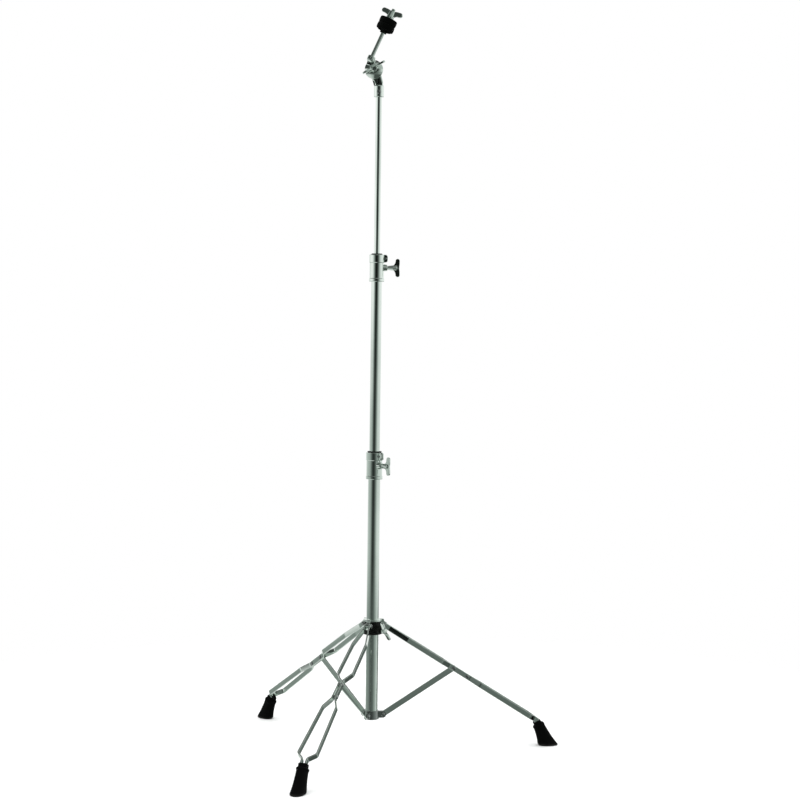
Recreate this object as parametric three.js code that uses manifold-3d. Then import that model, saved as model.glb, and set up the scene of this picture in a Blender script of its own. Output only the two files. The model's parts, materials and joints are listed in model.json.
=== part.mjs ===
// Straight cymbal stand. A folding tripod of paired flat strips carries a base tube and two
// telescoping tubes with sleeve clamps. A toothed tilter on top carries the cymbal rod.
// Millimetres, +Z up, floor at zero. The origin is under the middle of the whole stand's box.

import * as THREE from 'three';
import { mergeVertices } from 'three/addons/utils/BufferGeometryUtils.js';
import Module from 'manifold-3d';

const wasm = await Module();
wasm.setup();

const degree = Math.PI / 180;
const quarterTurn = Math.PI / 2;
const Y = new THREE.Vector3(0, 1, 0);
const Z = new THREE.Vector3(0, 0, 1);

// Fits that every piece shares
const clearance = 0.3;
const overrun = 2;
const edgeChamfer = 0.7;

// Facet counts
const tubeFacets = 24;
const linerFacets = 18;
const pinFacets = 10;
const hexSides = 6;
const bendSteps = 2;
const capSteps = 5;
const lobeSegments = 3;
const bootFacets = 16;
const bootLevels = 2;

// Tubes
const baseTubeRadius = 12.7;
const baseTubeWall = 1.1;
const baseTubeLength = 545;
const baseTubeBelowPivot = 7;
const midTubeRadius = 11;
const midTubeWall = 1.1;
const midTubeLength = 555;
const midTubeExposed = 411;
const topTubeRadius = 6.35;
const topTubeWall = 1;
const topTubeLength = 490;
const topTubeExposed = 361;

// Tripod linkage: leg arm and brace are equally long, so the collar rises straight up the tube
const legCount = 3;
const firstLegHeading = 9 * degree;
const legPitch = 32.2 * degree;
const armLength = 177.3;
const pivotRadius = 24;
const collarPivotHeight = 264.4;

// Leg strips, measured along the leg from the collar pin and sideways from the leg's middle
const stripThickness = 3;
const stripHeight = 11;
const stripBendRadius = 7;
const stripHeadReach = 7;
const upperFlareStart = 13;
const upperWideStart = 58;
const upperWideStartSpread = 14.5;
const upperWideEndSpread = 16.2;
const waistRamp = 21;
const waistLead = 10.3;
const waistTail = 7;
const lowerRamp = 24;
const lowerWideStartSpread = 14.4;
const lowerWideEnd = 372;
const lowerWideEndSpread = 19.5;
const stripMeet = 385;
const ankle = 391;
const ankleSpread = 5;
const tipLength = 30;
const tipPitch = 63 * degree;
const waistRivetGap = 34.7;

// Braces
const braceThickness = 3;
const braceHeight = 12;

// Pins and rivets
const pin = { radius: 2.3, headRadius: 4.4, crownRadius: 2.8, headHeight: 1.8 };
const clampScrew = { radius: 1.5, headRadius: 2.6, crownRadius: 1.8, headHeight: 1.5 };
const waistRivetShoulderRadius = 3.8;

// Rubber boots
const bootSoleLength = 43;
const bootSoleWidth = 29;
const bootRimLength = 25;
const bootRimWidth = 24;
const bootRimHeight = 45;
const bootSoleChamfer = 1.5;
const bootRimChamfer = 1.2;
const bootNeckRise = 8;
const bootNeckWall = 2.4;

// Lower bracket
const bracketWall = 2.6;
const bracketHeight = 18;
const bracketEarThickness = 2.5;
const bracketEarHeight = 14;
const bracketEarReach = 7;
const bracketBelowPivot = 9;

// Plug in the lower end of the base tube
const plugFlangeHeight = 2.5;
const plugStemLength = 14;
const plugRecess = 6;
const plugWall = 2;

// Leg collar
const collarHubWall = 4.6;
const collarHubHeight = 27;
const collarHubBelowPivot = 19;
const collarHubBandHeight = 5;
const collarHubBandStep = 1;
const collarTongueThickness = 8;
const collarTongueHeight = 21;
const collarTongueBelowPivot = 8;
const collarTongueReach = 7;
const collarPlateHeight = 4;
const collarPlateWall = 6.5;
const collarBossRadius = 7.5;
const collarBossReach = 29;
const collarBoltDrop = 8;

// Sleeve clamps at the tops of the base tube and the middle tube
const sleeveWall = 3.6;
const sleeveBelowTubeEnd = 43;
const sleeveAboveTubeEnd = 13;
const sleeveBandHeight = 6;
const sleeveBandStep = 0.9;
const sleeveSlitWidth = 2;
const sleeveBoltDrop = 14;
const sleeveBossRadius = 7.6;
const sleeveBossTip = 6.4;
const sleeveBossReach = 7;
const sleeveEarThickness = 4;
const sleeveEarMargin = 4;
const sleeveEarCorner = 5;
const sleeveEarHeight = 16;
const bushingFlangeHeight = 2;
const bushingFlangeStep = 1.6;
const bushingDepth = 34;
const bushingWall = 1.6;
const midClampHeading = -50 * degree;
const topClampHeading = 0;

// Guides in the lower ends of the sliding tubes
const guideFlangeHeight = 4;
const guideStemLength = 14;
const guideWall = 1.6;

// Wing bolts
const boltRadius = 3;
const boltTipGap = 1.2;
const boltFoot = 4.2;
const boltFlareShare = 0.55;
const wingThickness = 4;
const wingRootShare = 0.33;
const collarWingTurn = 30 * degree;
const tilterWingTurn = -60 * degree;
const nutTurn = -28 * degree;

// Tilter
const tilterDiscRadius = 19;
const tilterDiscThickness = 7;
const tilterToothCount = 24;
const tilterToothHeight = 1.6;
const tilterToothInner = 8.5;
const toothValleyShare = 0.4;
const tilterPivotRise = 34;
const tilterPivotOffset = 11;
const tilterSocketRadius = 10.4;
const tilterSocketLength = 23;
const tilterSocketSeat = 1.5;
const tilterNeckWidth = 17;
const tilterNeckStep = 0.6;
const tilterBoltRadius = 3.6;
const tilterNutWidth = 12;
const tilterNutHeight = 5.5;
const tilterPinDrop = 13;

// Cymbal rod and what is on it, measured along the rod from the boss that grips it
const rodTilt = 24.3 * degree;
const rodOffset = 14;
const rodRadius = 4;
const rodBossRadius = 8;
const rodBossTop = 22;
const rodBossBottom = 8.5;
const rodSocketDepth = 11;
const rodLength = 117;
const rodEndRound = 1;
const seatRadius = 14;
const seatHeight = 1.8;
const seatHubRadius = 7;
const seatHubHeight = 6;
const seatRise = 58;
const sleeveRadius = 5.8;
const feltRadius = 18.3;
const feltHeight = 12.5;
const feltRound = 1.6;
const feltBore = 6.4;

// Wing nut on the rod
const nutHubRadius = 8;
const nutHubHeight = 17;
const nutShoulderShare = 0.33;

// Wings: reach sideways from the axis, where the lobe's middle lies along it, and the lobe's size
const collarWing = { hubRadius: 6, hubLength: 13, span: 44, lobeRise: 14, lobeRadius: 4.6 };
const clampWing = { hubRadius: 5.6, hubLength: 20, span: 38, lobeRise: 21, lobeRadius: 4.6 };
const tilterWing = { hubRadius: 7, hubLength: 18, span: 52, lobeRise: 22, lobeRadius: 5.4 };
const nutWing = { hubRadius: nutHubRadius, hubLength: nutHubHeight, span: 51, lobeRise: 14, lobeRadius: 5 };

// Finishes
const chrome = new THREE.MeshStandardMaterial({ color: 0xc4ccc8, roughness: 0.14, metalness: 1 });
const darkChrome = new THREE.MeshStandardMaterial({ color: 0x9aa39f, roughness: 0.2, metalness: 1 });
const rivetSteel = new THREE.MeshStandardMaterial({ color: 0x6d7370, roughness: 0.35, metalness: 1 });
const rubber = new THREE.MeshStandardMaterial({ color: 0x0d0d0e, roughness: 0.75, metalness: 0 });
const nylon = new THREE.MeshStandardMaterial({ color: 0x131515, roughness: 0.45, metalness: 0 });
const felt = new THREE.MeshStandardMaterial({ color: 0x121211, roughness: 1, metalness: 0 });

// Solids: joins and cuts

function toSolid(geometry) {
  const bare = geometry.clone();
  bare.deleteAttribute('normal');
  bare.deleteAttribute('uv');
  const merged = mergeVertices(bare);
  const vertProperties = new Float32Array(merged.attributes.position.array);
  const triVerts = new Uint32Array(merged.index.array);
  return new wasm.Manifold(new wasm.Mesh({ numProp: 3, vertProperties, triVerts }));
}

function toGeometry(solid) {
  const mesh = solid.getMesh();
  const geometry = new THREE.BufferGeometry();
  geometry.setAttribute('position', new THREE.BufferAttribute(new Float32Array(mesh.vertProperties), 3));
  geometry.setIndex(new THREE.BufferAttribute(new Uint32Array(mesh.triVerts), 1));
  geometry.computeVertexNormals();
  return geometry;
}

function join(...geometries) {
  return toGeometry(geometries.map(toSolid).reduce((whole, piece) => whole.add(piece)));
}

function cut(geometry, ...cutters) {
  const whole = toSolid(geometry);
  return toGeometry(cutters.map(toSolid).reduce((rest, cutter) => rest.subtract(cutter), whole));
}

function common(first, second) {
  return toGeometry(toSolid(first).intersect(toSolid(second)));
}

// Turned forms: a profile of [radius, height] points that closes on itself or on the axis

function turned(profile, facets) {
  const points = profile.map(([radius, height]) => new THREE.Vector2(radius, height));
  return toGeometry(toSolid(new THREE.LatheGeometry(points, facets)));
}

function turnedUpright(profile, facets = tubeFacets) {
  return turned(profile, facets).rotateX(quarterTurn);
}

function ring(innerRadius, outerRadius, bottom, top, facets = tubeFacets) {
  return turnedUpright([
    [innerRadius, bottom],
    [outerRadius, bottom],
    [outerRadius, top],
    [innerRadius, top],
    [innerRadius, bottom],
  ], facets);
}

function rod(radius, bottom, top, facets = pinFacets) {
  return turnedUpright([[0, bottom], [radius, bottom], [radius, top], [0, top]], facets);
}

function block(sizeX, sizeY, sizeZ, centreX, centreY, centreZ) {
  return new THREE.BoxGeometry(sizeX, sizeY, sizeZ).translate(centreX, centreY, centreZ);
}

// A cylinder along X, a cylinder along Y, and a turned form whose axis points along +X
function rodAlongX(radius, from, to, facets = pinFacets) {
  return rod(radius, from, to, facets).rotateY(quarterTurn);
}

function rodAlongY(radius, from, to, facets = pinFacets) {
  return turned([[0, from], [radius, from], [radius, to], [0, to]], facets);
}

function turnedAlongX(profile, facets = pinFacets) {
  return turnedUpright(profile, facets).rotateY(quarterTurn);
}

// Flat bar outlines: a path with round bends, drawn at a width, with square or round ends

function leftOf(angle) {
  return new THREE.Vector2(-Math.sin(angle), Math.cos(angle));
}

function roundedPath(corners, bendRadius) {
  const path = [];
  corners.forEach((corner, index) => {
    const before = corners[index - 1] ?? corner.clone().multiplyScalar(2).sub(corners[index + 1]);
    const after = corners[index + 1] ?? corner.clone().multiplyScalar(2).sub(before);
    const inward = corner.clone().sub(before);
    const outward = after.clone().sub(corner);
    const turn = Math.atan2(inward.cross(outward), inward.dot(outward));
    const heading = inward.angle();
    if (Math.abs(turn) < degree / 100) {
      path.push({ point: corner.clone(), heading });
      return;
    }
    const side = Math.sign(turn);
    const setback = bendRadius * Math.tan(Math.abs(turn) / 2);
    const centre = corner.clone()
      .sub(inward.clone().normalize().multiplyScalar(setback))
      .add(leftOf(heading).multiplyScalar(side * bendRadius));
    for (let step = 0; step <= bendSteps; step += 1) {
      const angle = heading + turn * step / bendSteps;
      const point = centre.clone().sub(leftOf(angle).multiplyScalar(side * bendRadius));
      path.push({ point, heading: angle });
    }
  });
  return path;
}

function roundCap(end, halfWidth, startAngle) {
  const points = [];
  for (let step = 1; step < capSteps; step += 1) {
    const angle = startAngle - Math.PI * step / capSteps;
    const outward = new THREE.Vector2(Math.cos(angle), Math.sin(angle));
    points.push(end.clone().add(outward.multiplyScalar(halfWidth)));
  }
  return points;
}

function barOutline(cornerList, width, bendRadius, roundEnds) {
  const corners = cornerList.map(([along, across]) => new THREE.Vector2(along, across));
  const path = roundedPath(corners, bendRadius);
  const half = width / 2;
  const left = path.map(({ point, heading }) => point.clone().add(leftOf(heading).multiplyScalar(half)));
  const right = path.map(({ point, heading }) => point.clone().sub(leftOf(heading).multiplyScalar(half)));
  const first = path[0];
  const last = path[path.length - 1];
  const outline = [...left];
  if (roundEnds.includes('end')) {
    outline.push(...roundCap(last.point, half, last.heading + quarterTurn));
  }
  outline.push(...right.reverse());
  if (roundEnds.includes('start')) {
    outline.push(...roundCap(first.point, half, first.heading - quarterTurn));
  }
  return new THREE.Shape(outline);
}

// A tab that is square at its near side and has round corners at its far side
function tabOutline(near, far, bottom, top, corner) {
  const shape = new THREE.Shape();
  shape.moveTo(near, bottom);
  shape.lineTo(far - corner, bottom);
  shape.absarc(far - corner, bottom + corner, corner, -quarterTurn, 0, false);
  shape.absarc(far - corner, top - corner, corner, 0, quarterTurn, false);
  shape.lineTo(near, top);
  return shape;
}

function extrudeUp(shape, bottom, top) {
  const settings = { depth: top - bottom, bevelEnabled: false };
  return new THREE.ExtrudeGeometry(shape, settings).translate(0, 0, bottom);
}

// The outline stands in the XZ plane, and the thickness lies along Y around zero
function extrudeSideways(shape, thickness) {
  const settings = { depth: thickness, bevelEnabled: false, curveSegments: lobeSegments };
  const geometry = new THREE.ExtrudeGeometry(shape, settings);
  return geometry.translate(0, 0, -thickness / 2).rotateX(quarterTurn);
}

// A skin through rings of points, closed by a flat cap at each end
function loft(rings) {
  const count = rings[0].length;
  const positions = [];
  const index = [];
  rings.flat().forEach((point) => positions.push(point.x, point.y, point.z));
  for (let level = 0; level + 1 < rings.length; level += 1) {
    for (let step = 0; step < count; step += 1) {
      const next = (step + 1) % count;
      const a = level * count + step;
      const b = level * count + next;
      index.push(a, b, b + count, a, b + count, a + count);
    }
  }
  const last = (rings.length - 1) * count;
  for (let step = 1; step + 1 < count; step += 1) {
    index.push(0, step + 1, step);
    index.push(last, last + step, last + step + 1);
  }
  const geometry = new THREE.BufferGeometry();
  geometry.setAttribute('position', new THREE.Float32BufferAttribute(positions, 3));
  geometry.setIndex(index);
  return geometry;
}

// Rivet along Y with a low domed head at each end, its heads clamping a stack of this thickness
function rivetAlongY(stackThickness, size = pin, shoulderRadius = 0, shoulderThickness = 0) {
  const { radius, headRadius, crownRadius, headHeight } = size;
  const half = stackThickness / 2 + clearance;
  const crown = half + headHeight;
  const profile = [[0, -crown], [crownRadius, -crown], [headRadius, -half], [radius, -half]];
  if (shoulderThickness > 0) {
    profile.push([radius, -shoulderThickness / 2], [shoulderRadius, -shoulderThickness / 2]);
    profile.push([shoulderRadius, shoulderThickness / 2], [radius, shoulderThickness / 2]);
  }
  profile.push([radius, half], [headRadius, half], [crownRadius, crown], [0, crown]);
  return turned(profile, pinFacets);
}

// One wing: a lobe on a curved web, standing in the XZ plane beside an axis along +X
function wingOutline({ hubRadius, hubLength, span, lobeRise, lobeRadius }) {
  const lobeSide = span / 2 - lobeRadius;
  const shape = new THREE.Shape();
  shape.moveTo(hubLength * wingRootShare, 0);
  shape.lineTo(hubLength * wingRootShare, hubRadius / 2);
  shape.quadraticCurveTo(lobeRise - lobeRadius, hubRadius, lobeRise - lobeRadius, lobeSide);
  shape.absarc(lobeRise, lobeSide, lobeRadius, Math.PI, 0, true);
  shape.quadraticCurveTo(lobeRise + lobeRadius, hubRadius, hubLength - edgeChamfer, hubRadius / 2);
  shape.lineTo(hubLength - edgeChamfer, 0);
  return shape;
}

function wings(size) {
  const settings = {
    depth: wingThickness - 2 * edgeChamfer,
    bevelEnabled: true,
    bevelThickness: edgeChamfer,
    bevelSize: edgeChamfer,
    bevelOffset: -edgeChamfer,
    bevelSegments: 1,
    curveSegments: lobeSegments,
  };
  const oneSide = new THREE.ExtrudeGeometry(wingOutline(size), settings);
  oneSide.translate(0, 0, -settings.depth / 2).rotateX(quarterTurn);
  return [oneSide, oneSide.clone().rotateX(Math.PI)];
}

// Wing bolt along +X: the hub's underside is at zero and the shank reaches back from it
function wingBolt(size, shankRadius, shankLength) {
  const { hubRadius, hubLength } = size;
  const body = turnedAlongX([
    [0, -shankLength],
    [shankRadius - edgeChamfer, -shankLength],
    [shankRadius, edgeChamfer - shankLength],
    [shankRadius, 0],
    [boltFoot, 0],
    [hubRadius, hubLength * boltFlareShare],
    [hubRadius, hubLength - edgeChamfer],
    [hubRadius - edgeChamfer, hubLength],
    [0, hubLength],
  ]);
  return join(body, ...wings(size));
}

// Tubes

function tube(radius, wall, length) {
  return ring(radius - wall, radius, 0, length);
}

// Plug pressed into the base tube: a flange under the tube's end and a hollow stem
function basePlug() {
  const stem = baseTubeRadius - baseTubeWall - clearance;
  const hollow = stem - plugWall;
  return turnedUpright([
    [0, 0],
    [baseTubeRadius, 0],
    [baseTubeRadius, plugFlangeHeight],
    [stem, plugFlangeHeight],
    [stem, plugFlangeHeight + plugStemLength],
    [hollow, plugFlangeHeight + plugStemLength],
    [hollow, plugRecess],
    [0, plugRecess],
  ], linerFacets);
}

// Guide in a sliding tube's lower end: its flange fills the outer tube's bore
function tubeGuide(tubeRadius, tubeWall, boreRadius) {
  const stem = tubeRadius - tubeWall - clearance;
  return turnedUpright([
    [stem - guideWall, -guideFlangeHeight],
    [boreRadius - clearance, -guideFlangeHeight],
    [boreRadius - clearance, -clearance],
    [stem, -clearance],
    [stem, guideStemLength],
    [stem - guideWall, guideStemLength],
    [stem - guideWall, -guideFlangeHeight],
  ], linerFacets);
}

// Leg strips

// The second rivet keeps its distance from the brace's pin
function waistRivetPlace() {
  return armLength + waistRivetGap;
}

function stripPlan() {
  const collarSpread = collarTongueThickness / 2 + clearance + stripThickness / 2;
  const waistSpread = braceThickness / 2 + clearance + stripThickness / 2;
  const waistStart = armLength - waistLead;
  const waistEnd = waistRivetPlace() + waistTail;
  return [
    [-stripHeadReach, collarSpread],
    [upperFlareStart, collarSpread],
    [upperWideStart, upperWideStartSpread],
    [waistStart - waistRamp, upperWideEndSpread],
    [waistStart, waistSpread],
    [waistEnd, waistSpread],
    [waistEnd + lowerRamp, lowerWideStartSpread],
    [lowerWideEnd, lowerWideEndSpread],
    [stripMeet, ankleSpread],
    [ankle + tipLength + stripHeight, ankleSpread],
  ];
}

function tipBend() {
  return tipPitch - legPitch;
}

function stripSide() {
  const tip = [ankle + tipLength * Math.cos(tipBend()), -tipLength * Math.sin(tipBend())];
  return [[0, 0], [ankle, 0], tip];
}

function legStrip() {
  const plan = barOutline(stripPlan(), stripThickness, stripBendRadius, []);
  const side = barOutline(stripSide(), stripHeight, stripHeight, ['start']);
  const spreadLimit = 2 * (lowerWideEndSpread + stripThickness);
  const bar = common(
    extrudeUp(plan, -tipLength - stripHeight, stripHeight),
    extrudeSideways(side, spreadLimit),
  );
  const holes = [0, armLength, waistRivetPlace()].map((place) => (
    rodAlongY(pin.radius + clearance, 0, spreadLimit).translate(place, 0, 0)
  ));
  return cut(bar, ...holes);
}

// The leg's other strip is the first one's mirror image
function mirrored(geometry) {
  const copy = geometry.clone().scale(1, -1, 1);
  const index = copy.index.array;
  for (let corner = 0; corner < index.length; corner += 3) {
    [index[corner], index[corner + 1]] = [index[corner + 1], index[corner]];
  }
  copy.computeVertexNormals();
  return copy;
}

// Brace: a flat bar with round ends and a hole at each end, along +X
function brace() {
  const side = barOutline([[0, 0], [armLength, 0]], braceHeight, braceHeight, ['start', 'end']);
  const holes = [0, armLength].map((place) => (
    rodAlongY(pin.radius + clearance, -braceThickness, braceThickness).translate(place, 0, 0)
  ));
  return cut(extrudeSideways(side, braceThickness), ...holes);
}

// Rubber boot, in the leg's upright plane, with its origin where the leg's middle line bends
function bootCentre(height) {
  const ankleHeight = collarPivotHeight - ankle * Math.sin(legPitch);
  const drop = ankleHeight - height;
  return new THREE.Vector3(drop / Math.tan(tipPitch), 0, -drop);
}

function bootRing(centre, length, width, lean) {
  const points = [];
  for (let step = 0; step < bootFacets; step += 1) {
    const angle = 2 * Math.PI * step / bootFacets;
    const point = new THREE.Vector3(Math.cos(angle) * length / 2, Math.sin(angle) * width / 2, 0);
    points.push(point.applyAxisAngle(Y, -lean).add(centre));
  }
  return points;
}

function boot() {
  const rimLean = quarterTurn - tipPitch;
  const soleFace = [bootSoleLength - 2 * bootSoleChamfer, bootSoleWidth - 2 * bootSoleChamfer];
  const rings = [bootRing(bootCentre(0), ...soleFace, 0)];
  for (let level = 0; level <= bootLevels; level += 1) {
    const share = level / bootLevels;
    const height = THREE.MathUtils.lerp(bootSoleChamfer, bootRimHeight, share);
    const waist = Math.sin(Math.PI * share) * bootSoleChamfer;
    const length = THREE.MathUtils.lerp(bootSoleLength, bootRimLength, share) - waist;
    const width = THREE.MathUtils.lerp(bootSoleWidth, bootRimWidth, share);
    rings.push(bootRing(bootCentre(height), length, width, rimLean * share ** 2));
  }
  const top = bootCentre(bootRimHeight + bootRimChamfer);
  rings.push(bootRing(top, bootRimLength - 2 * bootRimChamfer, bootRimWidth - 2 * bootRimChamfer, rimLean));
  const socketWidth = 2 * ankleSpread + stripThickness + 2 * clearance;
  const socketLength = stripHeight + 2 * clearance;
  const neckBottom = bootRimHeight - bootNeckWall;
  const neck = block(
    socketLength + 2 * bootNeckWall,
    socketWidth + 2 * bootNeckWall,
    (top.z - bootCentre(neckBottom).z + bootNeckRise),
    0, 0, (top.z - bootCentre(neckBottom).z + bootNeckRise) / 2,
  );
  neck.rotateY(-rimLean).translate(bootCentre(neckBottom).x, 0, bootCentre(neckBottom).z);
  const socketBottom = -tipLength - clearance;
  const socket = block(socketLength, socketWidth, 2 * tipLength, 0, 0, socketBottom + tipLength);
  socket.rotateY(-rimLean);
  return cut(join(loft(rings), neck), socket);
}

// Lower bracket: a band round the tube with three pairs of ears for the braces
function lowerBracket() {
  const bore = baseTubeRadius + clearance;
  const outer = bore + bracketWall;
  const bottom = -bracketBelowPivot;
  let solid = ring(bore, outer, bottom, bottom + bracketHeight);
  const earOffset = braceThickness / 2 + clearance + bracketEarThickness / 2;
  const rootRadius = bore + bracketWall / 2;
  const earLength = pivotRadius + bracketEarReach - rootRadius;
  for (let leg = 0; leg < legCount; leg += 1) {
    for (const side of [-1, 1]) {
      const earOutline = barOutline([[rootRadius, 0], [rootRadius + earLength - bracketEarHeight / 2, 0]],
        bracketEarHeight, bracketEarHeight, ['end']);
      const ear = extrudeSideways(earOutline, bracketEarThickness).translate(0, side * earOffset, 0);
      const hole = rodAlongY(pin.radius + clearance, -bracketEarHeight, bracketEarHeight);
      const drilled = cut(ear, hole.translate(pivotRadius, 0, 0));
      solid = join(solid, drilled.rotateZ(2 * Math.PI * leg / legCount));
    }
  }
  return solid;
}

// Leg collar: a nylon hub that runs on the tube, and a cast plate with three tongues on it
function collarHub() {
  const bore = baseTubeRadius + clearance;
  const outer = bore + collarHubWall;
  const band = outer + collarHubBandStep;
  const bottom = -collarHubBelowPivot;
  const top = bottom + collarHubHeight;
  const hub = turnedUpright([
    [bore, bottom],
    [band, bottom],
    [band, bottom + collarHubBandHeight],
    [outer, bottom + collarHubBandHeight + collarHubBandStep],
    [outer, top],
    [bore, top],
    [bore, bottom],
  ]);
  const boss = rodAlongX(collarBossRadius, bore + collarHubWall / 2, collarBossReach);
  boss.translate(0, 0, -collarBoltDrop).rotateZ(-Math.PI / legCount);
  const hole = rodAlongX(boltRadius + clearance, 0, collarBossReach + overrun);
  hole.translate(0, 0, -collarBoltDrop).rotateZ(-Math.PI / legCount);
  const slotted = cut(join(hub, boss), hole);
  return cut(slotted, ...collarTongueShapes(collarTongueThickness + 2 * clearance, clearance));
}

function collarTongueShapes(thickness, margin) {
  const inner = baseTubeRadius + clearance + collarHubWall / 2 - margin;
  const bottom = -collarTongueBelowPivot - margin;
  const top = collarTongueHeight - collarTongueBelowPivot + margin;
  const tongue = block(
    pivotRadius - inner, thickness, top - bottom,
    (pivotRadius + inner) / 2, 0, (top + bottom) / 2,
  );
  const round = barOutline([[inner, 0], [pivotRadius, 0]],
    2 * collarTongueReach, 2 * collarTongueReach, ['end']);
  const nose = extrudeSideways(round, thickness);
  const whole = join(tongue, nose);
  return Array.from({ length: legCount }, (_, leg) => whole.clone().rotateZ(2 * Math.PI * leg / legCount));
}

function collarSpider() {
  const bore = baseTubeRadius + clearance;
  const plateBottom = collarHubHeight - collarHubBelowPivot + clearance;
  const plate = ring(bore, bore + collarPlateWall, plateBottom, plateBottom + collarPlateHeight);
  const tongues = collarTongueShapes(collarTongueThickness, 0);
  const holes = tongues.map((_, leg) => (
    rodAlongY(pin.radius + clearance, -collarTongueThickness, collarTongueThickness)
      .translate(pivotRadius, 0, 0)
      .rotateZ(2 * Math.PI * leg / legCount)
  ));
  return cut(join(plate, ...tongues), ...holes);
}

// Sleeve clamp, with its origin on the lower tube's end and its bolt along +X
function sleeveOuter(tubeRadius) {
  return tubeRadius + clearance + sleeveWall;
}

function sleeveClamp(tubeRadius, passRadius) {
  const outer = sleeveOuter(tubeRadius);
  const band = outer + sleeveBandStep;
  const bottom = -sleeveBelowTubeEnd;
  const top = sleeveAboveTubeEnd;
  const shell = turnedUpright([
    [tubeRadius + clearance, bottom],
    [band - sleeveBandStep, bottom],
    [band, bottom + sleeveBandStep],
    [band, bottom + sleeveBandHeight],
    [outer, bottom + sleeveBandHeight + sleeveBandStep],
    [outer, top - sleeveEarHeight - sleeveBandStep],
    [band, top - sleeveEarHeight],
    [band, top - sleeveBandStep],
    [band - sleeveBandStep, top],
    [passRadius, top],
    [passRadius, clearance],
    [tubeRadius + clearance, clearance],
    [tubeRadius + clearance, bottom],
  ]);
  const bossRoot = tubeRadius + clearance + sleeveWall / 2;
  const boss = turnedAlongX([
    [0, bossRoot],
    [sleeveBossRadius, bossRoot],
    [sleeveBossTip, outer + sleeveBossReach],
    [0, outer + sleeveBossReach],
  ]).translate(0, 0, -sleeveBoltDrop);
  const screwPlace = sleeveScrewPlace(tubeRadius);
  const earTip = screwPlace + sleeveEarMargin;
  const earPair = extrudeSideways(tabOutline(bossRoot, earTip, top - sleeveEarHeight, top, sleeveEarCorner),
    2 * sleeveEarThickness + sleeveSlitWidth);
  const slitBottom = sleeveBossRadius - sleeveBoltDrop + clearance;
  const slitLength = earTip + overrun;
  const slit = block(
    slitLength, sleeveSlitWidth, top + overrun - slitBottom,
    slitLength / 2, 0, (top + overrun + slitBottom) / 2,
  );
  const boltHole = rodAlongX(boltRadius + clearance, 0, outer + sleeveBossReach + overrun);
  boltHole.translate(0, 0, -sleeveBoltDrop);
  const screwHole = rodAlongY(clampScrew.radius + clearance, -sleeveEarHeight, sleeveEarHeight);
  screwHole.translate(screwPlace, 0, top - sleeveEarHeight / 2);
  return cut(join(shell, boss, earPair), slit, boltHole, screwHole);
}

function sleeveScrew() {
  return rivetAlongY(2 * sleeveEarThickness + sleeveSlitWidth, clampScrew);
}

// The screw stands clear of the sleeve's band, and the ears reach round it
function sleeveScrewPlace(tubeRadius) {
  return sleeveOuter(tubeRadius) + sleeveBandStep + clampScrew.headRadius + clearance;
}

// Bushing above the base tube's end, as wide as the sleeve clamp's upper bore allows
function shallowBushing(tubeRadius, passRadius) {
  const bore = tubeRadius + clearance;
  const top = sleeveAboveTubeEnd + clearance;
  return turnedUpright([
    [bore, clearance],
    [passRadius - clearance, clearance],
    [passRadius - clearance, top],
    [passRadius + bushingFlangeStep, top],
    [passRadius + bushingFlangeStep, top + bushingFlangeHeight],
    [bore, top + bushingFlangeHeight],
    [bore, clearance],
  ], linerFacets);
}

// Bushing that also reaches down inside the middle tube
function deepBushing(tubeRadius, boreRadius) {
  const bore = tubeRadius + clearance;
  const top = sleeveAboveTubeEnd + clearance;
  return turnedUpright([
    [bore, -bushingDepth],
    [boreRadius - clearance, -bushingDepth],
    [boreRadius - clearance, top],
    [boreRadius + bushingFlangeStep, top],
    [boreRadius + bushingFlangeStep, top + bushingFlangeHeight],
    [bore, top + bushingFlangeHeight],
    [bore, -bushingDepth],
  ], linerFacets);
}

// Tilter: two toothed discs face each other across a plane, with their axis along Y

// Radial teeth that stand up from zero along +Z, between two radii
function toothRing(innerRadius, outerRadius, rootDepth) {
  const steps = 2 * tilterToothCount;
  const bottomInner = [];
  const bottomOuter = [];
  const topInner = [];
  const topOuter = [];
  for (let step = 0; step < steps; step += 1) {
    const angle = 2 * Math.PI * step / steps;
    const height = tilterToothHeight * (step % 2 === 0 ? 1 : toothValleyShare);
    const across = new THREE.Vector3(Math.cos(angle), Math.sin(angle), 0);
    bottomInner.push(across.clone().multiplyScalar(innerRadius).setZ(-rootDepth));
    bottomOuter.push(across.clone().multiplyScalar(outerRadius).setZ(-rootDepth));
    topOuter.push(across.clone().multiplyScalar(outerRadius).setZ(height));
    topInner.push(across.clone().multiplyScalar(innerRadius).setZ(height));
  }
  const loops = [bottomInner, bottomOuter, topOuter, topInner];
  const positions = loops.flat().flatMap((point) => [point.x, point.y, point.z]);
  const index = [];
  loops.forEach((_, loop) => {
    const following = (loop + 1) % loops.length;
    for (let step = 0; step < steps; step += 1) {
      const next = (step + 1) % steps;
      const a = loop * steps + step;
      const b = loop * steps + next;
      const c = following * steps + next;
      const d = following * steps + step;
      index.push(a, b, c, a, c, d);
    }
  });
  const geometry = new THREE.BufferGeometry();
  geometry.setAttribute('position', new THREE.Float32BufferAttribute(positions, 3));
  geometry.setIndex(index);
  return geometry;
}

// A disc behind the meeting plane, its teeth pointing at the viewer along -Y
function toothedDisc() {
  const facePlane = clearance / 2 + tilterToothHeight;
  const disc = rodAlongY(tilterDiscRadius, facePlane, facePlane + tilterDiscThickness, tubeFacets);
  const teeth = toothRing(tilterToothInner, tilterDiscRadius - edgeChamfer, tilterToothHeight);
  teeth.rotateZ(quarterTurn / (2 * tilterToothCount)).rotateX(quarterTurn).translate(0, facePlane, 0);
  return join(disc, teeth);
}

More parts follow.
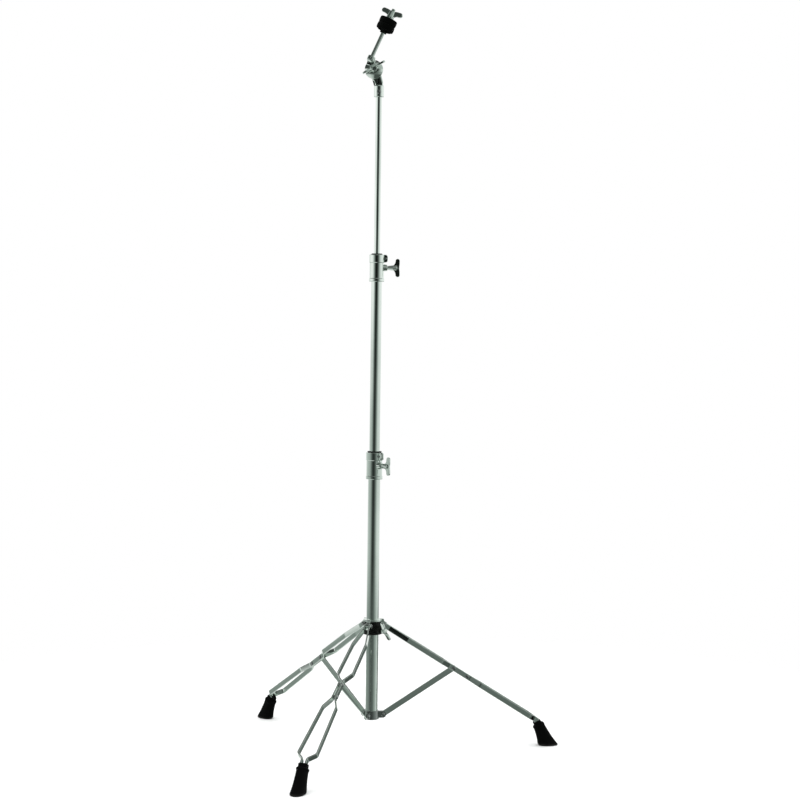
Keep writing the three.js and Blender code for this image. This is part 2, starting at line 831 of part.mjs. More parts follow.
function tilterBase() {
  const back = clearance / 2 + tilterToothHeight;
  const socketTop = -tilterPivotRise + tilterSocketSeat;
  const socketBottom = -tilterPivotRise - tilterSocketLength;
  const socket = turnedUpright([
    [0, socketBottom],
    [tilterSocketRadius - edgeChamfer, socketBottom],
    [tilterSocketRadius, socketBottom + edgeChamfer],
    [tilterSocketRadius, socketTop],
    [0, socketTop],
  ]).translate(tilterPivotOffset, 0, 0);
  const neckWidth = tilterNeckWidth + tilterPivotOffset / 2;
  const neckLength = tilterPivotRise + tilterSocketLength / 2;
  const neck = block(
    neckWidth, tilterDiscThickness - 2 * tilterNeckStep, neckLength,
    tilterPivotOffset / 2, back + tilterDiscThickness / 2, -neckLength / 2,
  );
  const bolt = rodAlongY(tilterBoltRadius + clearance, -overrun, back + tilterDiscThickness + overrun);
  const nutSeat = rodAlongY(tilterNutWidth / 2 + clearance,
    back + tilterDiscThickness - tilterNutHeight / 2, back + tilterDiscThickness + overrun, hexSides);
  const boreTop = -tilterPivotRise + clearance;
  const tubeBore = rod(topTubeRadius + clearance, socketBottom - overrun, boreTop, tubeFacets);
  tubeBore.translate(tilterPivotOffset, 0, 0);
  const pinHole = rodAlongY(pin.radius + clearance, -2 * tilterSocketRadius, 2 * tilterSocketRadius);
  pinHole.translate(tilterPivotOffset, 0, -tilterPivotRise - tilterPinDrop);
  return cut(join(toothedDisc(), neck, socket), bolt, nutSeat, tubeBore, pinHole);
}

// The head's rod boss lies in front of its disc, beside and above the pivot, along the rod
function rodBossPlane() {
  return -(clearance / 2 + tilterToothHeight + tilterNeckStep + rodBossRadius);
}

// Distance of either disc's outer face from the meeting plane
function tilterFace() {
  return clearance / 2 + tilterToothHeight + tilterDiscThickness;
}

function tilterHead() {
  const front = -(clearance / 2 + tilterToothHeight);
  const disc = toothedDisc().rotateZ(Math.PI);
  const boss = turnedUpright([
    [0, rodBossBottom],
    [rodBossRadius - edgeChamfer, rodBossBottom],
    [rodBossRadius, rodBossBottom + edgeChamfer],
    [rodBossRadius, rodBossTop - 2 * edgeChamfer],
    [rodBossRadius - 2 * edgeChamfer, rodBossTop],
    [0, rodBossTop],
  ], tubeFacets).translate(-rodOffset, rodBossPlane(), 0);
  const bolt = rodAlongY(tilterBoltRadius + clearance, front - 2 * tilterDiscThickness, overrun);
  const socket = rod(rodRadius + clearance, rodBossTop - rodSocketDepth - clearance, rodBossTop + overrun);
  socket.translate(-rodOffset, rodBossPlane(), 0);
  return cut(join(disc, boss), bolt, socket).rotateY(rodTilt);
}

function tilterNut() {
  const inner = tilterFace() - tilterNutHeight / 2 + clearance;
  const outer = inner + tilterNutHeight;
  const nut = rodAlongY(tilterNutWidth / 2, inner, outer, hexSides);
  return cut(nut, rodAlongY(tilterBoltRadius + clearance, inner - overrun, outer + overrun));
}

// Cymbal rod, along +Z from the bottom of its socket
function cymbalRod() {
  return turnedUpright([
    [0, 0],
    [rodRadius - rodEndRound, 0],
    [rodRadius, rodEndRound],
    [rodRadius, rodLength - rodEndRound],
    [rodRadius - rodEndRound, rodLength],
    [0, rodLength],
  ], pinFacets);
}

function cymbalSeat() {
  const bore = rodRadius + clearance;
  return turnedUpright([
    [bore, 0],
    [seatHubRadius, 0],
    [seatHubRadius, seatHubHeight - seatHeight],
    [seatRadius - edgeChamfer, seatHubHeight - seatHeight],
    [seatRadius, seatHubHeight - seatHeight + edgeChamfer],
    [seatRadius, seatHubHeight],
    [bore, seatHubHeight],
    [bore, 0],
  ], linerFacets);
}

// Plastic sleeve through both felts, standing on the seat
function rodSleeve() {
  return ring(rodRadius + clearance, sleeveRadius, 0, 2 * feltHeight, pinFacets);
}

function feltPad() {
  return turnedUpright([
    [feltBore, 0],
    [feltRadius - feltRound, 0],
    [feltRadius, feltRound],
    [feltRadius, feltHeight - feltRound],
    [feltRadius - feltRound, feltHeight],
    [feltBore, feltHeight],
    [feltBore, 0],
  ], linerFacets);
}

function wingNut() {
  const hub = turnedAlongX([
    [0, 0],
    [nutHubRadius, 0],
    [nutHubRadius, nutHubHeight * nutShoulderShare],
    [nutHubRadius - 2 * edgeChamfer, nutHubHeight],
    [0, nutHubHeight],
  ]);
  const bore = rodAlongX(rodRadius + clearance, -overrun, nutHubHeight + overrun);
  return cut(join(hub, ...wings(nutWing)), bore);
}

// Assembly

const stand = new THREE.Group();

function addPiece(parent, name, geometry, material, x = 0, y = 0, z = 0) {
  const mesh = new THREE.Mesh(geometry, material);
  mesh.name = name;
  mesh.position.set(x, y, z);
  parent.add(mesh);
  return mesh;
}

function addFrame(parent, x, y, z) {
  const frame = new THREE.Group();
  frame.position.set(x, y, z);
  parent.add(frame);
  return frame;
}

const bracketPivotHeight = collarPivotHeight - 2 * armLength * Math.sin(legPitch);
const baseTubeBottom = bracketPivotHeight - baseTubeBelowPivot;
const baseTubeTop = baseTubeBottom + baseTubeLength;
const midTubeTop = baseTubeTop + midTubeExposed;
const midTubeBottom = midTubeTop - midTubeLength;
const topTubeTop = midTubeTop + topTubeExposed;
const topTubeBottom = topTubeTop - topTubeLength;
const pivotHeight = topTubeTop + tilterPivotRise;

function addTripod() {
  const tripod = addFrame(stand, 0, 0, 0);
  tripod.rotation.z = firstLegHeading;
  addPiece(tripod, 'lower_bracket', lowerBracket(), darkChrome, 0, 0, bracketPivotHeight);
  addPiece(tripod, 'collar_hub', collarHub(), nylon, 0, 0, collarPivotHeight);
  addPiece(tripod, 'collar_spider', collarSpider(), chrome, 0, 0, collarPivotHeight);
  const boltFrame = addFrame(tripod, 0, 0, collarPivotHeight - collarBoltDrop);
  boltFrame.rotation.z = -Math.PI / legCount;
  const shank = collarBossReach - baseTubeRadius - boltTipGap;
  const bolt = wingBolt(collarWing, boltRadius, shank);
  const boltPiece = addPiece(boltFrame, 'collar_wing_bolt', bolt, chrome, collarBossReach + clearance);
  boltPiece.rotation.x = collarWingTurn;
  const strip = legStrip();
  const mirrorStrip = mirrored(strip);
  const stack = 2 * stripThickness + braceThickness + 2 * clearance;
  for (let leg = 0; leg < legCount; leg += 1) {
    const number = leg + 1;
    const plane = addFrame(tripod, 0, 0, 0);
    plane.rotation.z = 2 * Math.PI * leg / legCount;
    const lowPivot = addFrame(plane, pivotRadius, 0, bracketPivotHeight);
    const earStack = 2 * bracketEarThickness + braceThickness + 2 * clearance;
    addPiece(lowPivot, `bracket_pin_${number}`, rivetAlongY(earStack), rivetSteel);
    const bracePiece = addPiece(lowPivot, `brace_${number}`, brace(), chrome);
    bracePiece.rotation.y = -legPitch;
    const highPivot = addFrame(plane, pivotRadius, 0, collarPivotHeight);
    const tongueStack = collarTongueThickness + 2 * stripThickness + 2 * clearance;
    addPiece(highPivot, `collar_pin_${number}`, rivetAlongY(tongueStack), rivetSteel);
    const legFrame = addFrame(plane, pivotRadius, 0, collarPivotHeight);
    legFrame.rotation.y = legPitch;
    addPiece(legFrame, `leg_strip_${number}a`, strip, chrome);
    addPiece(legFrame, `leg_strip_${number}b`, mirrorStrip, chrome);
    addPiece(legFrame, `brace_pin_${number}`, rivetAlongY(stack), rivetSteel, armLength, 0, 0);
    const waistRivet = rivetAlongY(stack, pin, waistRivetShoulderRadius, braceThickness);
    addPiece(legFrame, `leg_rivet_${number}`, waistRivet, rivetSteel, waistRivetPlace(), 0, 0);
    const bootPiece = addPiece(legFrame, `boot_${number}`, boot(), rubber, ankle, 0, 0);
    bootPiece.rotation.y = -legPitch;
  }
}

function addClamp(prefix, tubeRadius, passRadius, height, heading) {
  const frame = addFrame(stand, 0, 0, height);
  frame.rotation.z = heading;
  const outer = sleeveOuter(tubeRadius);
  addPiece(frame, `${prefix}_clamp_sleeve`, sleeveClamp(tubeRadius, passRadius), chrome);
  addPiece(frame, `${prefix}_clamp_screw`, sleeveScrew(), rivetSteel,
    sleeveScrewPlace(tubeRadius), 0, sleeveAboveTubeEnd - sleeveEarHeight / 2);
  const shank = outer + sleeveBossReach - tubeRadius - boltTipGap;
  addPiece(frame, `${prefix}_clamp_wing_bolt`, wingBolt(clampWing, boltRadius, shank), chrome,
    outer + sleeveBossReach + clearance, 0, -sleeveBoltDrop);
}

function addTubes() {
  const baseTube = tube(baseTubeRadius, baseTubeWall, baseTubeLength);
  addPiece(stand, 'base_tube', baseTube, chrome, 0, 0, baseTubeBottom);
  addPiece(stand, 'base_tube_plug', basePlug(), nylon, 0, 0, baseTubeBottom - clearance - plugFlangeHeight);
  const midPass = midTubeRadius + clearance + bushingWall + clearance;
  addClamp('middle', baseTubeRadius, midPass, baseTubeTop, midClampHeading);
  addPiece(stand, 'middle_clamp_bushing', shallowBushing(midTubeRadius, midPass), nylon, 0, 0, baseTubeTop);
  const midTube = tube(midTubeRadius, midTubeWall, midTubeLength);
  addPiece(stand, 'middle_tube', midTube, chrome, 0, 0, midTubeBottom);
  const midGuide = tubeGuide(midTubeRadius, midTubeWall, baseTubeRadius - baseTubeWall);
  addPiece(stand, 'middle_tube_guide', midGuide, nylon, 0, 0, midTubeBottom);
  const midBore = midTubeRadius - midTubeWall;
  addClamp('upper', midTubeRadius, midBore, midTubeTop, topClampHeading);
  addPiece(stand, 'upper_clamp_bushing', deepBushing(topTubeRadius, midBore), nylon, 0, 0, midTubeTop);
  const topTube = tube(topTubeRadius, topTubeWall, topTubeLength);
  const crossHole = rodAlongY(pin.radius + clearance, -2 * topTubeRadius, 2 * topTubeRadius);
  crossHole.translate(0, 0, topTubeLength - tilterPinDrop);
  addPiece(stand, 'top_tube', cut(topTube, crossHole), chrome, 0, 0, topTubeBottom);
  const topGuide = tubeGuide(topTubeRadius, topTubeWall, midBore);
  addPiece(stand, 'top_tube_guide', topGuide, nylon, 0, 0, topTubeBottom);
}

function addTilter() {
  const pivot = addFrame(stand, -tilterPivotOffset, 0, pivotHeight);
  addPiece(pivot, 'tilter_base', tilterBase(), chrome);
  addPiece(pivot, 'tilter_head', tilterHead(), chrome);
  addPiece(pivot, 'tilter_nut', tilterNut(), rivetSteel);
  addPiece(pivot, 'tilter_pin', rivetAlongY(2 * tilterSocketRadius), rivetSteel,
    tilterPivotOffset, 0, -tilterPivotRise - tilterPinDrop);
  const headFront = tilterFace() + clearance;
  const shank = headFront + tilterFace() + tilterNutHeight;
  const bolt = addPiece(pivot, 'tilter_wing_bolt', wingBolt(tilterWing, tilterBoltRadius, shank), chrome,
    0, -headFront, 0);
  bolt.quaternion.setFromAxisAngle(Z, -quarterTurn);
  bolt.rotateX(tilterWingTurn);
  const rodFrame = addFrame(pivot, 0, rodBossPlane(), 0);
  rodFrame.rotation.y = rodTilt;
  const line = addFrame(rodFrame, -rodOffset, 0, rodBossTop);
  addPiece(line, 'cymbal_rod', cymbalRod(), chrome, 0, 0, -rodSocketDepth);
  const seatTop = seatRise + clearance;
  addPiece(line, 'cymbal_seat', cymbalSeat(), chrome, 0, 0, seatRise - seatHubHeight);
  addPiece(line, 'rod_sleeve', rodSleeve(), nylon, 0, 0, seatTop);
  addPiece(line, 'lower_felt', feltPad(), felt, 0, 0, seatTop);
  const upperFeltBottom = seatTop + feltHeight + clearance;
  addPiece(line, 'upper_felt', feltPad(), felt, 0, 0, upperFeltBottom);
  const nut = addPiece(line, 'wing_nut', wingNut(), chrome, 0, 0, upperFeltBottom + feltHeight + clearance);
  nut.quaternion.setFromAxisAngle(Y, -quarterTurn);
  nut.rotateX(nutTurn);
}

addTripod();
addTubes();
addTilter();

stand.updateMatrixWorld(true);
const box = new THREE.Box3().setFromObject(stand, true);
stand.position.set(-(box.min.x + box.max.x) / 2, -(box.min.y + box.max.y) / 2, -box.min.z);

export default stand;
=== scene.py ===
import json
import math

import bmesh
import bpy
import numpy as np
from bpy.props import FloatProperty, FloatVectorProperty, IntProperty, PointerProperty
from bpy.types import Operator, Panel, PropertyGroup
from mathutils import Matrix, Vector


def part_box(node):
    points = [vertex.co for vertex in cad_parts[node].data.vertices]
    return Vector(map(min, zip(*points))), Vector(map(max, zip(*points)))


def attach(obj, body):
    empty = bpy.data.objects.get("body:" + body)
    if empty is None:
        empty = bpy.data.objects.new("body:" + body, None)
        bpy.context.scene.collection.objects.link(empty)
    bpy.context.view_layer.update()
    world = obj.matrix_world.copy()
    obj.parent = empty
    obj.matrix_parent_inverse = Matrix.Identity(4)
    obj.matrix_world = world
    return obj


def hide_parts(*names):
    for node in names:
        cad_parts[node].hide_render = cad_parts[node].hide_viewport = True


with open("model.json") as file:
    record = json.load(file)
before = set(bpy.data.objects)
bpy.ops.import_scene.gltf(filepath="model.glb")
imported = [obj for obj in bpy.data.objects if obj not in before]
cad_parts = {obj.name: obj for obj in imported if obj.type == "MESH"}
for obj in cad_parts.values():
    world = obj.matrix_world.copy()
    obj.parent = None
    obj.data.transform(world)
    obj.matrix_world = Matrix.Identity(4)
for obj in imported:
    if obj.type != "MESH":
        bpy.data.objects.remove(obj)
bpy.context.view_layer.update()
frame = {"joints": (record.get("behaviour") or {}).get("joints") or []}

bl_info = {
    "name": "Straight cymbal stand",
    "version": (1, 0, 0),
    "blender": (4, 5, 0),
    "location": "3D View > Sidebar > Stand",
    "description": "Dresses the packed frame of a straight cymbal stand, piece by piece",
    "category": "Object",
}

MM = 0.001
LEGS = (1, 2, 3)
TURN = 2 * math.pi
JOINTS = {joint["name"]: joint for joint in frame["joints"]}


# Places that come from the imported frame


def node_box(node):
    """Lowest and highest corner of a CAD node as two arrays."""
    low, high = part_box(node)
    return np.array(low), np.array(high)


def node_middle(node):
    """Middle of a CAD node's box."""
    low, high = node_box(node)
    return (low + high) / 2


def node_top(node):
    """Height of a CAD node's highest point."""
    return node_box(node)[1][2]


def joint_place(name):
    """The point that a joint's axis runs through at rest."""
    return np.array(JOINTS[name]["pos_m"], float)


# The point on the floor under the base tube's middle
MAST = node_middle("base_tube") * [1, 1, 0]


def heading(away):
    """Angle round the mast, from +X, of a direction away from it."""
    return math.atan2(away[1], away[0])


def leg_heading(leg):
    """Angle of a leg round the mast, from +X."""
    return heading(joint_place(f"brace_{leg}_fold") - MAST)


def clamp_heading(prefix):
    """Angle of a clamp's bolt round the mast, from +X."""
    return heading(node_middle(f"{prefix}_clamp_screw") - MAST)


def collar_bolt_heading():
    """Angle of the collar's bolt round the mast: its axis, taken away from the mast."""
    axis = np.array(JOINTS["collar_bolt_turn"]["axis"], float)
    outward = np.dot(axis[:2], (joint_place("collar_bolt_turn") - MAST)[:2]) > 0
    return heading(axis if outward else -axis)


def turned_about_z(angle):
    """Rotation matrix about the upright axis, its columns the turned X, Y and Z."""
    c, s = math.cos(angle), math.sin(angle)
    return np.array([[c, -s, 0.0], [s, c, 0.0], [0.0, 0.0, 1.0]])


def turned_about_y(angle):
    """Rotation matrix about Y, from Z toward X."""
    c, s = math.cos(angle), math.sin(angle)
    return np.array([[c, 0.0, s], [0.0, 1.0, 0.0], [-s, 0.0, c]])


def turned_about_x(angle):
    """Rotation matrix about X, from Y toward Z."""
    c, s = math.cos(angle), math.sin(angle)
    return np.array([[1.0, 0.0, 0.0], [0.0, c, -s], [0.0, s, c]])


PIVOT_REACH = float(np.linalg.norm((joint_place("brace_1_fold") - MAST)[:2]))
BRACKET_HEIGHT = float(joint_place("brace_1_fold")[2])
COLLAR_HEIGHT = float(joint_place("collar_on_leg_1")[2])
PINCH = joint_place("leg_1_fold")
ARM = float(np.linalg.norm(PINCH - joint_place("brace_1_fold")))
LEG_PITCH = math.asin((PINCH[2] - BRACKET_HEIGHT) / ARM)
TILTER = joint_place("tilter_tilt")
ROD_AXIS = np.array(JOINTS["upper_felt_lift"]["axis"], float)
ROD_TILT = math.atan2(ROD_AXIS[0], ROD_AXIS[2])


# Shapes as arrays: every grid is rows x columns x 3

TINY = 1e-9
NEARLY_STRAIGHT = 1e-3
LEAST_COSINE = 0.5
FACE_LOOP_INSET = 1.8
LARGEST_ROUNDING = 0.98
MERGE_DISTANCE = 1e-7


def eased_corners(corners, closed, steps=5, guard=0.35):
    """A polyline with each corner replaced by an arc of the corner's own radius.

    A corner is (x, y, radius). The arc starts at radius / tan(half the inner angle) before the
    corner and ends as far after it. A guard point lies a share of the radius beyond each end, so
    that smooth shading keeps the straight runs straight.
    """
    points = np.array([corner[:2] for corner in corners], float)
    made = []
    count = len(points)
    for index in range(count):
        radius = corners[index][2]
        if radius <= 0 or (not closed and index in (0, count - 1)):
            made.append(points[index][None])
            continue
        before = points[index - 1] - points[index]
        after = points[(index + 1) % count] - points[index]
        to_before, to_after = before / np.linalg.norm(before), after / np.linalg.norm(after)
        inner = math.acos(float(np.clip(to_before @ to_after, -1, 1)))
        if inner > math.pi - NEARLY_STRAIGHT:
            made.append(points[index][None])
            continue
        setback = radius / math.tan(inner / 2)
        middle = to_before + to_after
        middle /= np.linalg.norm(middle)
        centre = points[index] + middle * radius / math.sin(inner / 2)
        start = points[index] + to_before * setback - centre
        end = points[index] + to_after * setback - centre
        angle = math.pi - inner
        share = np.linspace(0, 1, steps + 1)[:, None]
        blend = np.sin((1 - share) * angle) * start + np.sin(share * angle) * end
        arc = centre + blend / math.sin(angle)
        lead_in = points[index] + to_before * (setback + guard * radius)
        lead_out = points[index] + to_after * (setback + guard * radius)
        made.append(np.vstack([lead_in, arc, lead_out]))
    return np.vstack(made)


def revolved(profile, columns=64, start=0.0, extent=TURN):
    """A profile of (radius, height) points turned about Z: (r cos a, r sin a, h) for each angle a."""
    whole = abs(extent - TURN) < TINY
    angles = start + extent * np.arange(columns if whole else columns + 1) / columns
    radius, height = profile[:, 0][:, None], profile[:, 1][:, None]
    grid = np.stack([radius * np.cos(angles), radius * np.sin(angles), height + 0 * angles], axis=2)
    return {"grid": grid, "wrap_rows": False, "wrap_columns": whole, "caps": False}


def ringed(profile, columns=64, start=0.0, extent=TURN):
    """A closed profile loop turned about Z, with its two ends closed where it isn't a whole turn."""
    shell = revolved(profile, columns, start, extent)
    whole = shell["wrap_columns"]
    grid = shell["grid"].transpose(1, 0, 2)
    return {"grid": grid, "wrap_rows": whole, "wrap_columns": True, "caps": not whole}


def inset_outline(outline, amount):
    """A closed outline moved inwards by an amount along the mean of its two edge normals.

    At a corner it moves by the amount over the cosine of half the turn, and by twice the amount
    at most.
    """
    ahead = np.roll(outline, -1, axis=0) - outline
    behind = outline - np.roll(outline, 1, axis=0)
    ahead /= np.linalg.norm(ahead, axis=1)[:, None]
    behind /= np.linalg.norm(behind, axis=1)[:, None]
    mean = ahead + behind
    mean /= np.maximum(np.linalg.norm(mean, axis=1)[:, None], TINY)
    normal = np.stack([-mean[:, 1], mean[:, 0]], axis=1)
    reach = 1 / np.maximum((mean * ahead).sum(1), LEAST_COSINE)
    return outline + normal * (amount * reach)[:, None]


def plate(outline, thickness, edge, steps=4):
    """A flat plate: an outline run through its thickness, its two rims rounded by quarter circles.

    At angle a of the rim the outline is inset by edge * (1 - cos a) and stands edge * (1 - sin a)
    short of the face. The outline lies in X and Y and runs anticlockwise; the thickness is about
    zero along Z.
    """
    half = thickness / 2
    angles = np.linspace(math.pi / 2, 0, steps + 1)
    insets = np.concatenate([[edge * FACE_LOOP_INSET], edge * (1 - np.cos(angles))])
    levels = np.concatenate([[half], half - edge * (1 - np.sin(angles))])

    def layer(inset, level):
        return np.column_stack([inset_outline(outline, inset), np.full(len(outline), level)])

    rows = [layer(inset, -level) for inset, level in zip(insets, levels)]
    rows += [layer(inset, level) for inset, level in zip(insets[::-1], levels[::-1])]
    return {"grid": np.array(rows), "wrap_rows": False, "wrap_columns": True, "caps": True}


def swept(centres, across, upright, widths, heights, edge, steps=3):
    """A rounded rectangle carried along a path.

    At each station the section's corners are at plus and minus half its width along across, and
    plus and minus half its height along upright, each rounded by a quarter circle of the edge.
    """
    angles = np.linspace(0, math.pi / 2, steps + 1)
    quarter = np.stack([np.cos(angles), np.sin(angles)], axis=1)
    signs = np.array([[1, 1], [-1, 1], [-1, -1], [1, -1]], float)
    corner = np.repeat(signs, len(quarter), axis=0)
    arc = np.vstack([quarter, quarter[::-1], quarter, quarter[::-1]]) * corner
    wide = widths[:, None] / 2
    high = heights[:, None] / 2
    round_x = np.minimum(edge, wide * LARGEST_ROUNDING)
    round_y = np.minimum(edge, high * LARGEST_ROUNDING)
    x = corner[:, 0] * (wide - round_x) + arc[:, 0] * round_x
    y = corner[:, 1] * (high - round_y) + arc[:, 1] * round_y
    grid = centres[:, None] + x[..., None] * across[:, None] + y[..., None] * upright[:, None]
    return {"grid": grid, "wrap_rows": False, "wrap_columns": True, "caps": True}


def moved(shell, rotation=None, offset=(0.0, 0.0, 0.0)):
    """The shell turned by a rotation matrix and then shifted: p -> R p + t."""
    grid = shell["grid"]
    if rotation is not None:
        grid = grid @ np.asarray(rotation).T
    return {**shell, "grid": grid + np.asarray(offset, float)}


def all_moved(shells, rotation=None, offset=(0.0, 0.0, 0.0)):
    """Several shells turned and shifted together."""
    return [moved(shell, rotation, offset) for shell in shells]


AXIS_ALONG_X = turned_about_y(math.pi / 2)
AXIS_ALONG_Y = turned_about_x(-math.pi / 2)
PLATE_UPRIGHT = turned_about_x(math.pi / 2)


def leg_turn(leg):
    """Rotation that brings +X to a leg's heading."""
    return turned_about_z(leg_heading(leg))


# Meshes, pieces and materials

CREASE_ANGLE = 38.0
MOULDED_CREASE = 50.0
THREAD_CREASE = 60.0
FELT_CREASE = 80.0
FACE_WEIGHT = 60


def shell_mesh(shell):
    """One grid as a closed, outward mesh: quads between neighbours, seams and poles merged."""
    grid = shell["grid"]
    rows, columns = grid.shape[:2]
    row = np.arange(rows if shell["wrap_rows"] else rows - 1)
    column = np.arange(columns if shell["wrap_columns"] else columns - 1)
    low, left = np.meshgrid(row, column, indexing="ij")
    high, right = (low + 1) % rows, (left + 1) % columns
    low, high = low * columns, high * columns
    faces = np.stack([low + left, low + right, high + right, high + left], axis=2)
    faces = faces.reshape(-1, 4).tolist()
    if shell["caps"]:
        faces.append(list(range(columns))[::-1])
        faces.append(list(range((rows - 1) * columns, rows * columns)))
    mesh = bpy.data.meshes.new("shell")
    mesh.from_pydata(grid.reshape(-1, 3).tolist(), [], faces)
    work = bmesh.new()
    work.from_mesh(mesh)
    bmesh.ops.remove_doubles(work, verts=work.verts, dist=MERGE_DISTANCE)
    bmesh.ops.recalc_face_normals(work, faces=work.faces)
    work.to_mesh(mesh)
    work.free()
    return mesh


def make_piece(name, shells, node, body, slot, look=None, crease=CREASE_ANGLE, weighted=True):
    """Joins the shells into one object that rides on a body and stands for a CAD node.

    Its finish is its slot's, unless another look is named. Edges sharper than the crease angle
    stay sharp, and weighted normals keep the flat faces flat.
    """
    work = bmesh.new()
    for shell in shells:
        part = shell_mesh(shell)
        work.from_mesh(part)
        bpy.data.meshes.remove(part)
    mesh = bpy.data.meshes.new(name)
    work.to_mesh(mesh)
    work.free()
    mesh.polygons.foreach_set("use_smooth", [True] * len(mesh.polygons))
    mesh.set_sharp_from_angle(angle=math.radians(crease))
    mesh.materials.append(finish(look or slot))
    piece = bpy.data.objects.new(name, mesh)
    bpy.context.scene.collection.objects.link(piece)
    if weighted:
        normals = piece.modifiers.new("flat faces stay flat", "WEIGHTED_NORMAL")
        normals.keep_sharp = True
        normals.weight = FACE_WEIGHT
    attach(piece, body)
    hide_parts(node)
    return piece


class NodeTree:
    """A node tree under construction."""

    def __init__(self, tree):
        self.tree = tree

    def node(self, kind, **settings):
        """A new node with some of its settings."""
        made = self.tree.nodes.new(kind)
        for key, value in settings.items():
            setattr(made, key, value)
        return made

    def join(self, source, target):
        """A link from an output to an input."""
        self.tree.links.new(source, target)


class Recipe(NodeTree):
    """A material's node tree: short calls for the nodes that every finish uses."""

    def __init__(self, name):
        self.material = bpy.data.materials.new(name)
        self.material.use_nodes = True
        super().__init__(self.material.node_tree)
        self.surface = self.tree.nodes["Principled BSDF"]
        self.place = self.node("ShaderNodeTexCoord").outputs["Object"]

    def scaled_place(self, scale):
        """Object coordinates scaled along X, Y and Z."""
        mapping = self.node("ShaderNodeMapping")
        mapping.inputs["Scale"].default_value = scale
        self.join(self.place, mapping.inputs["Vector"])
        return mapping.outputs["Vector"]

    def noise(self, scale, detail=3.0, roughness=0.5, place=None):
        """Cloudy noise, 0 to 1 and mostly near 0.5."""
        made = self.node("ShaderNodeTexNoise")
        made.inputs["Scale"].default_value = scale
        made.inputs["Detail"].default_value = detail
        made.inputs["Roughness"].default_value = roughness
        self.join(place or self.place, made.inputs["Vector"])
        return made.outputs["Fac"]

    def cells(self, scale):
        """Distance to the nearest of many scattered points."""
        made = self.node("ShaderNodeTexVoronoi", feature="F1")
        made.inputs["Scale"].default_value = scale
        self.join(self.place, made.inputs["Vector"])
        return made.outputs["Distance"]

    def spread(self, value, low, high, start=0.0, end=1.0):
        """A smooth step from low, where the value is at its start, to high at its end."""
        made = self.node("ShaderNodeMapRange", interpolation_type="SMOOTHSTEP")
        self.join(value, made.inputs["Value"])
        made.inputs["From Min"].default_value = start
        made.inputs["From Max"].default_value = end
        made.inputs["To Min"].default_value = low
        made.inputs["To Max"].default_value = high
        return made.outputs["Result"]

    def maths(self, operation, first, second):
        """A mathematical operation on two outputs."""
        made = self.node("ShaderNodeMath", operation=operation)
        self.join(first, made.inputs[0])
        self.join(second, made.inputs[1])
        return made.outputs[0]

    def mixed(self, share, first, second):
        """The first colour where the share is 0, the second where it is 1."""
        made = self.node("ShaderNodeMix", data_type="RGBA")
        self.join(share, made.inputs["Factor"])
        made.inputs["A"].default_value = (*first, 1.0)
        made.inputs["B"].default_value = (*second, 1.0)
        return made.outputs["Result"]

    def clouded(self, pattern, tint, shade, start, end):
        """Two tints: the first where the pattern is below its start, the second above its end."""
        return self.mixed(self.spread(pattern, 0.0, 1.0, start, end), tint, shade)

    def ridges(self, height, strength, distance, under=None):
        """A bump of this height, on top of another one where that is given."""
        made = self.node("ShaderNodeBump")
        made.inputs["Strength"].default_value = strength
        made.inputs["Distance"].default_value = distance
        self.join(height, made.inputs["Height"])
        if under is not None:
            self.join(under, made.inputs["Normal"])
        return made.outputs["Normal"]

    def set(self, **values):
        """The shader's own sockets: a number, a colour or a link for each."""
        for key, value in values.items():
            socket = self.surface.inputs[key.replace("_", " ").title().replace("Ior", "IOR")]
            if isinstance(value, (int, float)):
                socket.default_value = value
            elif isinstance(value, tuple):
                socket.default_value = (*value, 1.0)
            else:
                self.join(value, socket)


EVEN_GRAIN = (1.0, 1.0, 1.0)
DRAWN_GRAIN = (1.0, 1.0, 0.04)
FLOW_GRAIN = (1.0, 1.0, 0.35)
LONG_FIBRES = (1.0, 0.28, 1.0)
CROSS_FIBRES = (0.3, 1.0, 0.8)
SMUDGE_ROUGHNESS = 0.11
PRESSED_ROUGHNESS = 0.08
DUSTY_HEIGHT = 0.5 * MM
DUST_FREE_HEIGHT = 6 * MM


def plated_finish(name, tint, shade, gloss, grain=EVEN_GRAIN):
    """Polished plating: two close tints in soft clouds, smudged roughness and fine rub marks."""
    recipe = Recipe(name)
    clouds = recipe.noise(scale=9.0, detail=4.0)
    smears = recipe.noise(scale=38.0, detail=5.0, roughness=0.62)
    smudges = recipe.spread(smears, gloss, gloss + SMUDGE_ROUGHNESS, start=0.5, end=0.82)
    rubs = recipe.noise(scale=420.0, detail=3.0, roughness=0.6, place=recipe.scaled_place(grain))
    fine = recipe.spread(rubs, low=-0.012, high=0.02)
    ripple = recipe.ridges(recipe.noise(scale=70.0, detail=1.0), strength=0.05, distance=0.0004)
    recipe.set(
        base_color=recipe.clouded(clouds, tint, shade, start=0.38, end=0.66),
        metallic=1.0,
        roughness=recipe.maths("ADD", smudges, fine),
        normal=recipe.ridges(rubs, strength=0.035, distance=0.00006, under=ripple),
    )
    return recipe.material


def steel_finish(name, tint, shade):
    """Plain rivet steel: cloudy tint, satin roughness and the marks of the setting tool."""
    recipe = Recipe(name)
    clouds = recipe.noise(scale=260.0, detail=4.0)
    grain = recipe.noise(scale=2400.0, detail=2.0)
    marks = recipe.ridges(clouds, strength=0.2, distance=0.0001)
    recipe.set(
        base_color=recipe.clouded(clouds, tint, shade, start=0.35, end=0.7),
        metallic=1.0,
        roughness=recipe.spread(clouds, low=0.2, high=0.42, start=0.3, end=0.75),
        normal=recipe.ridges(grain, strength=0.14, distance=0.00005, under=marks),
    )
    return recipe.material


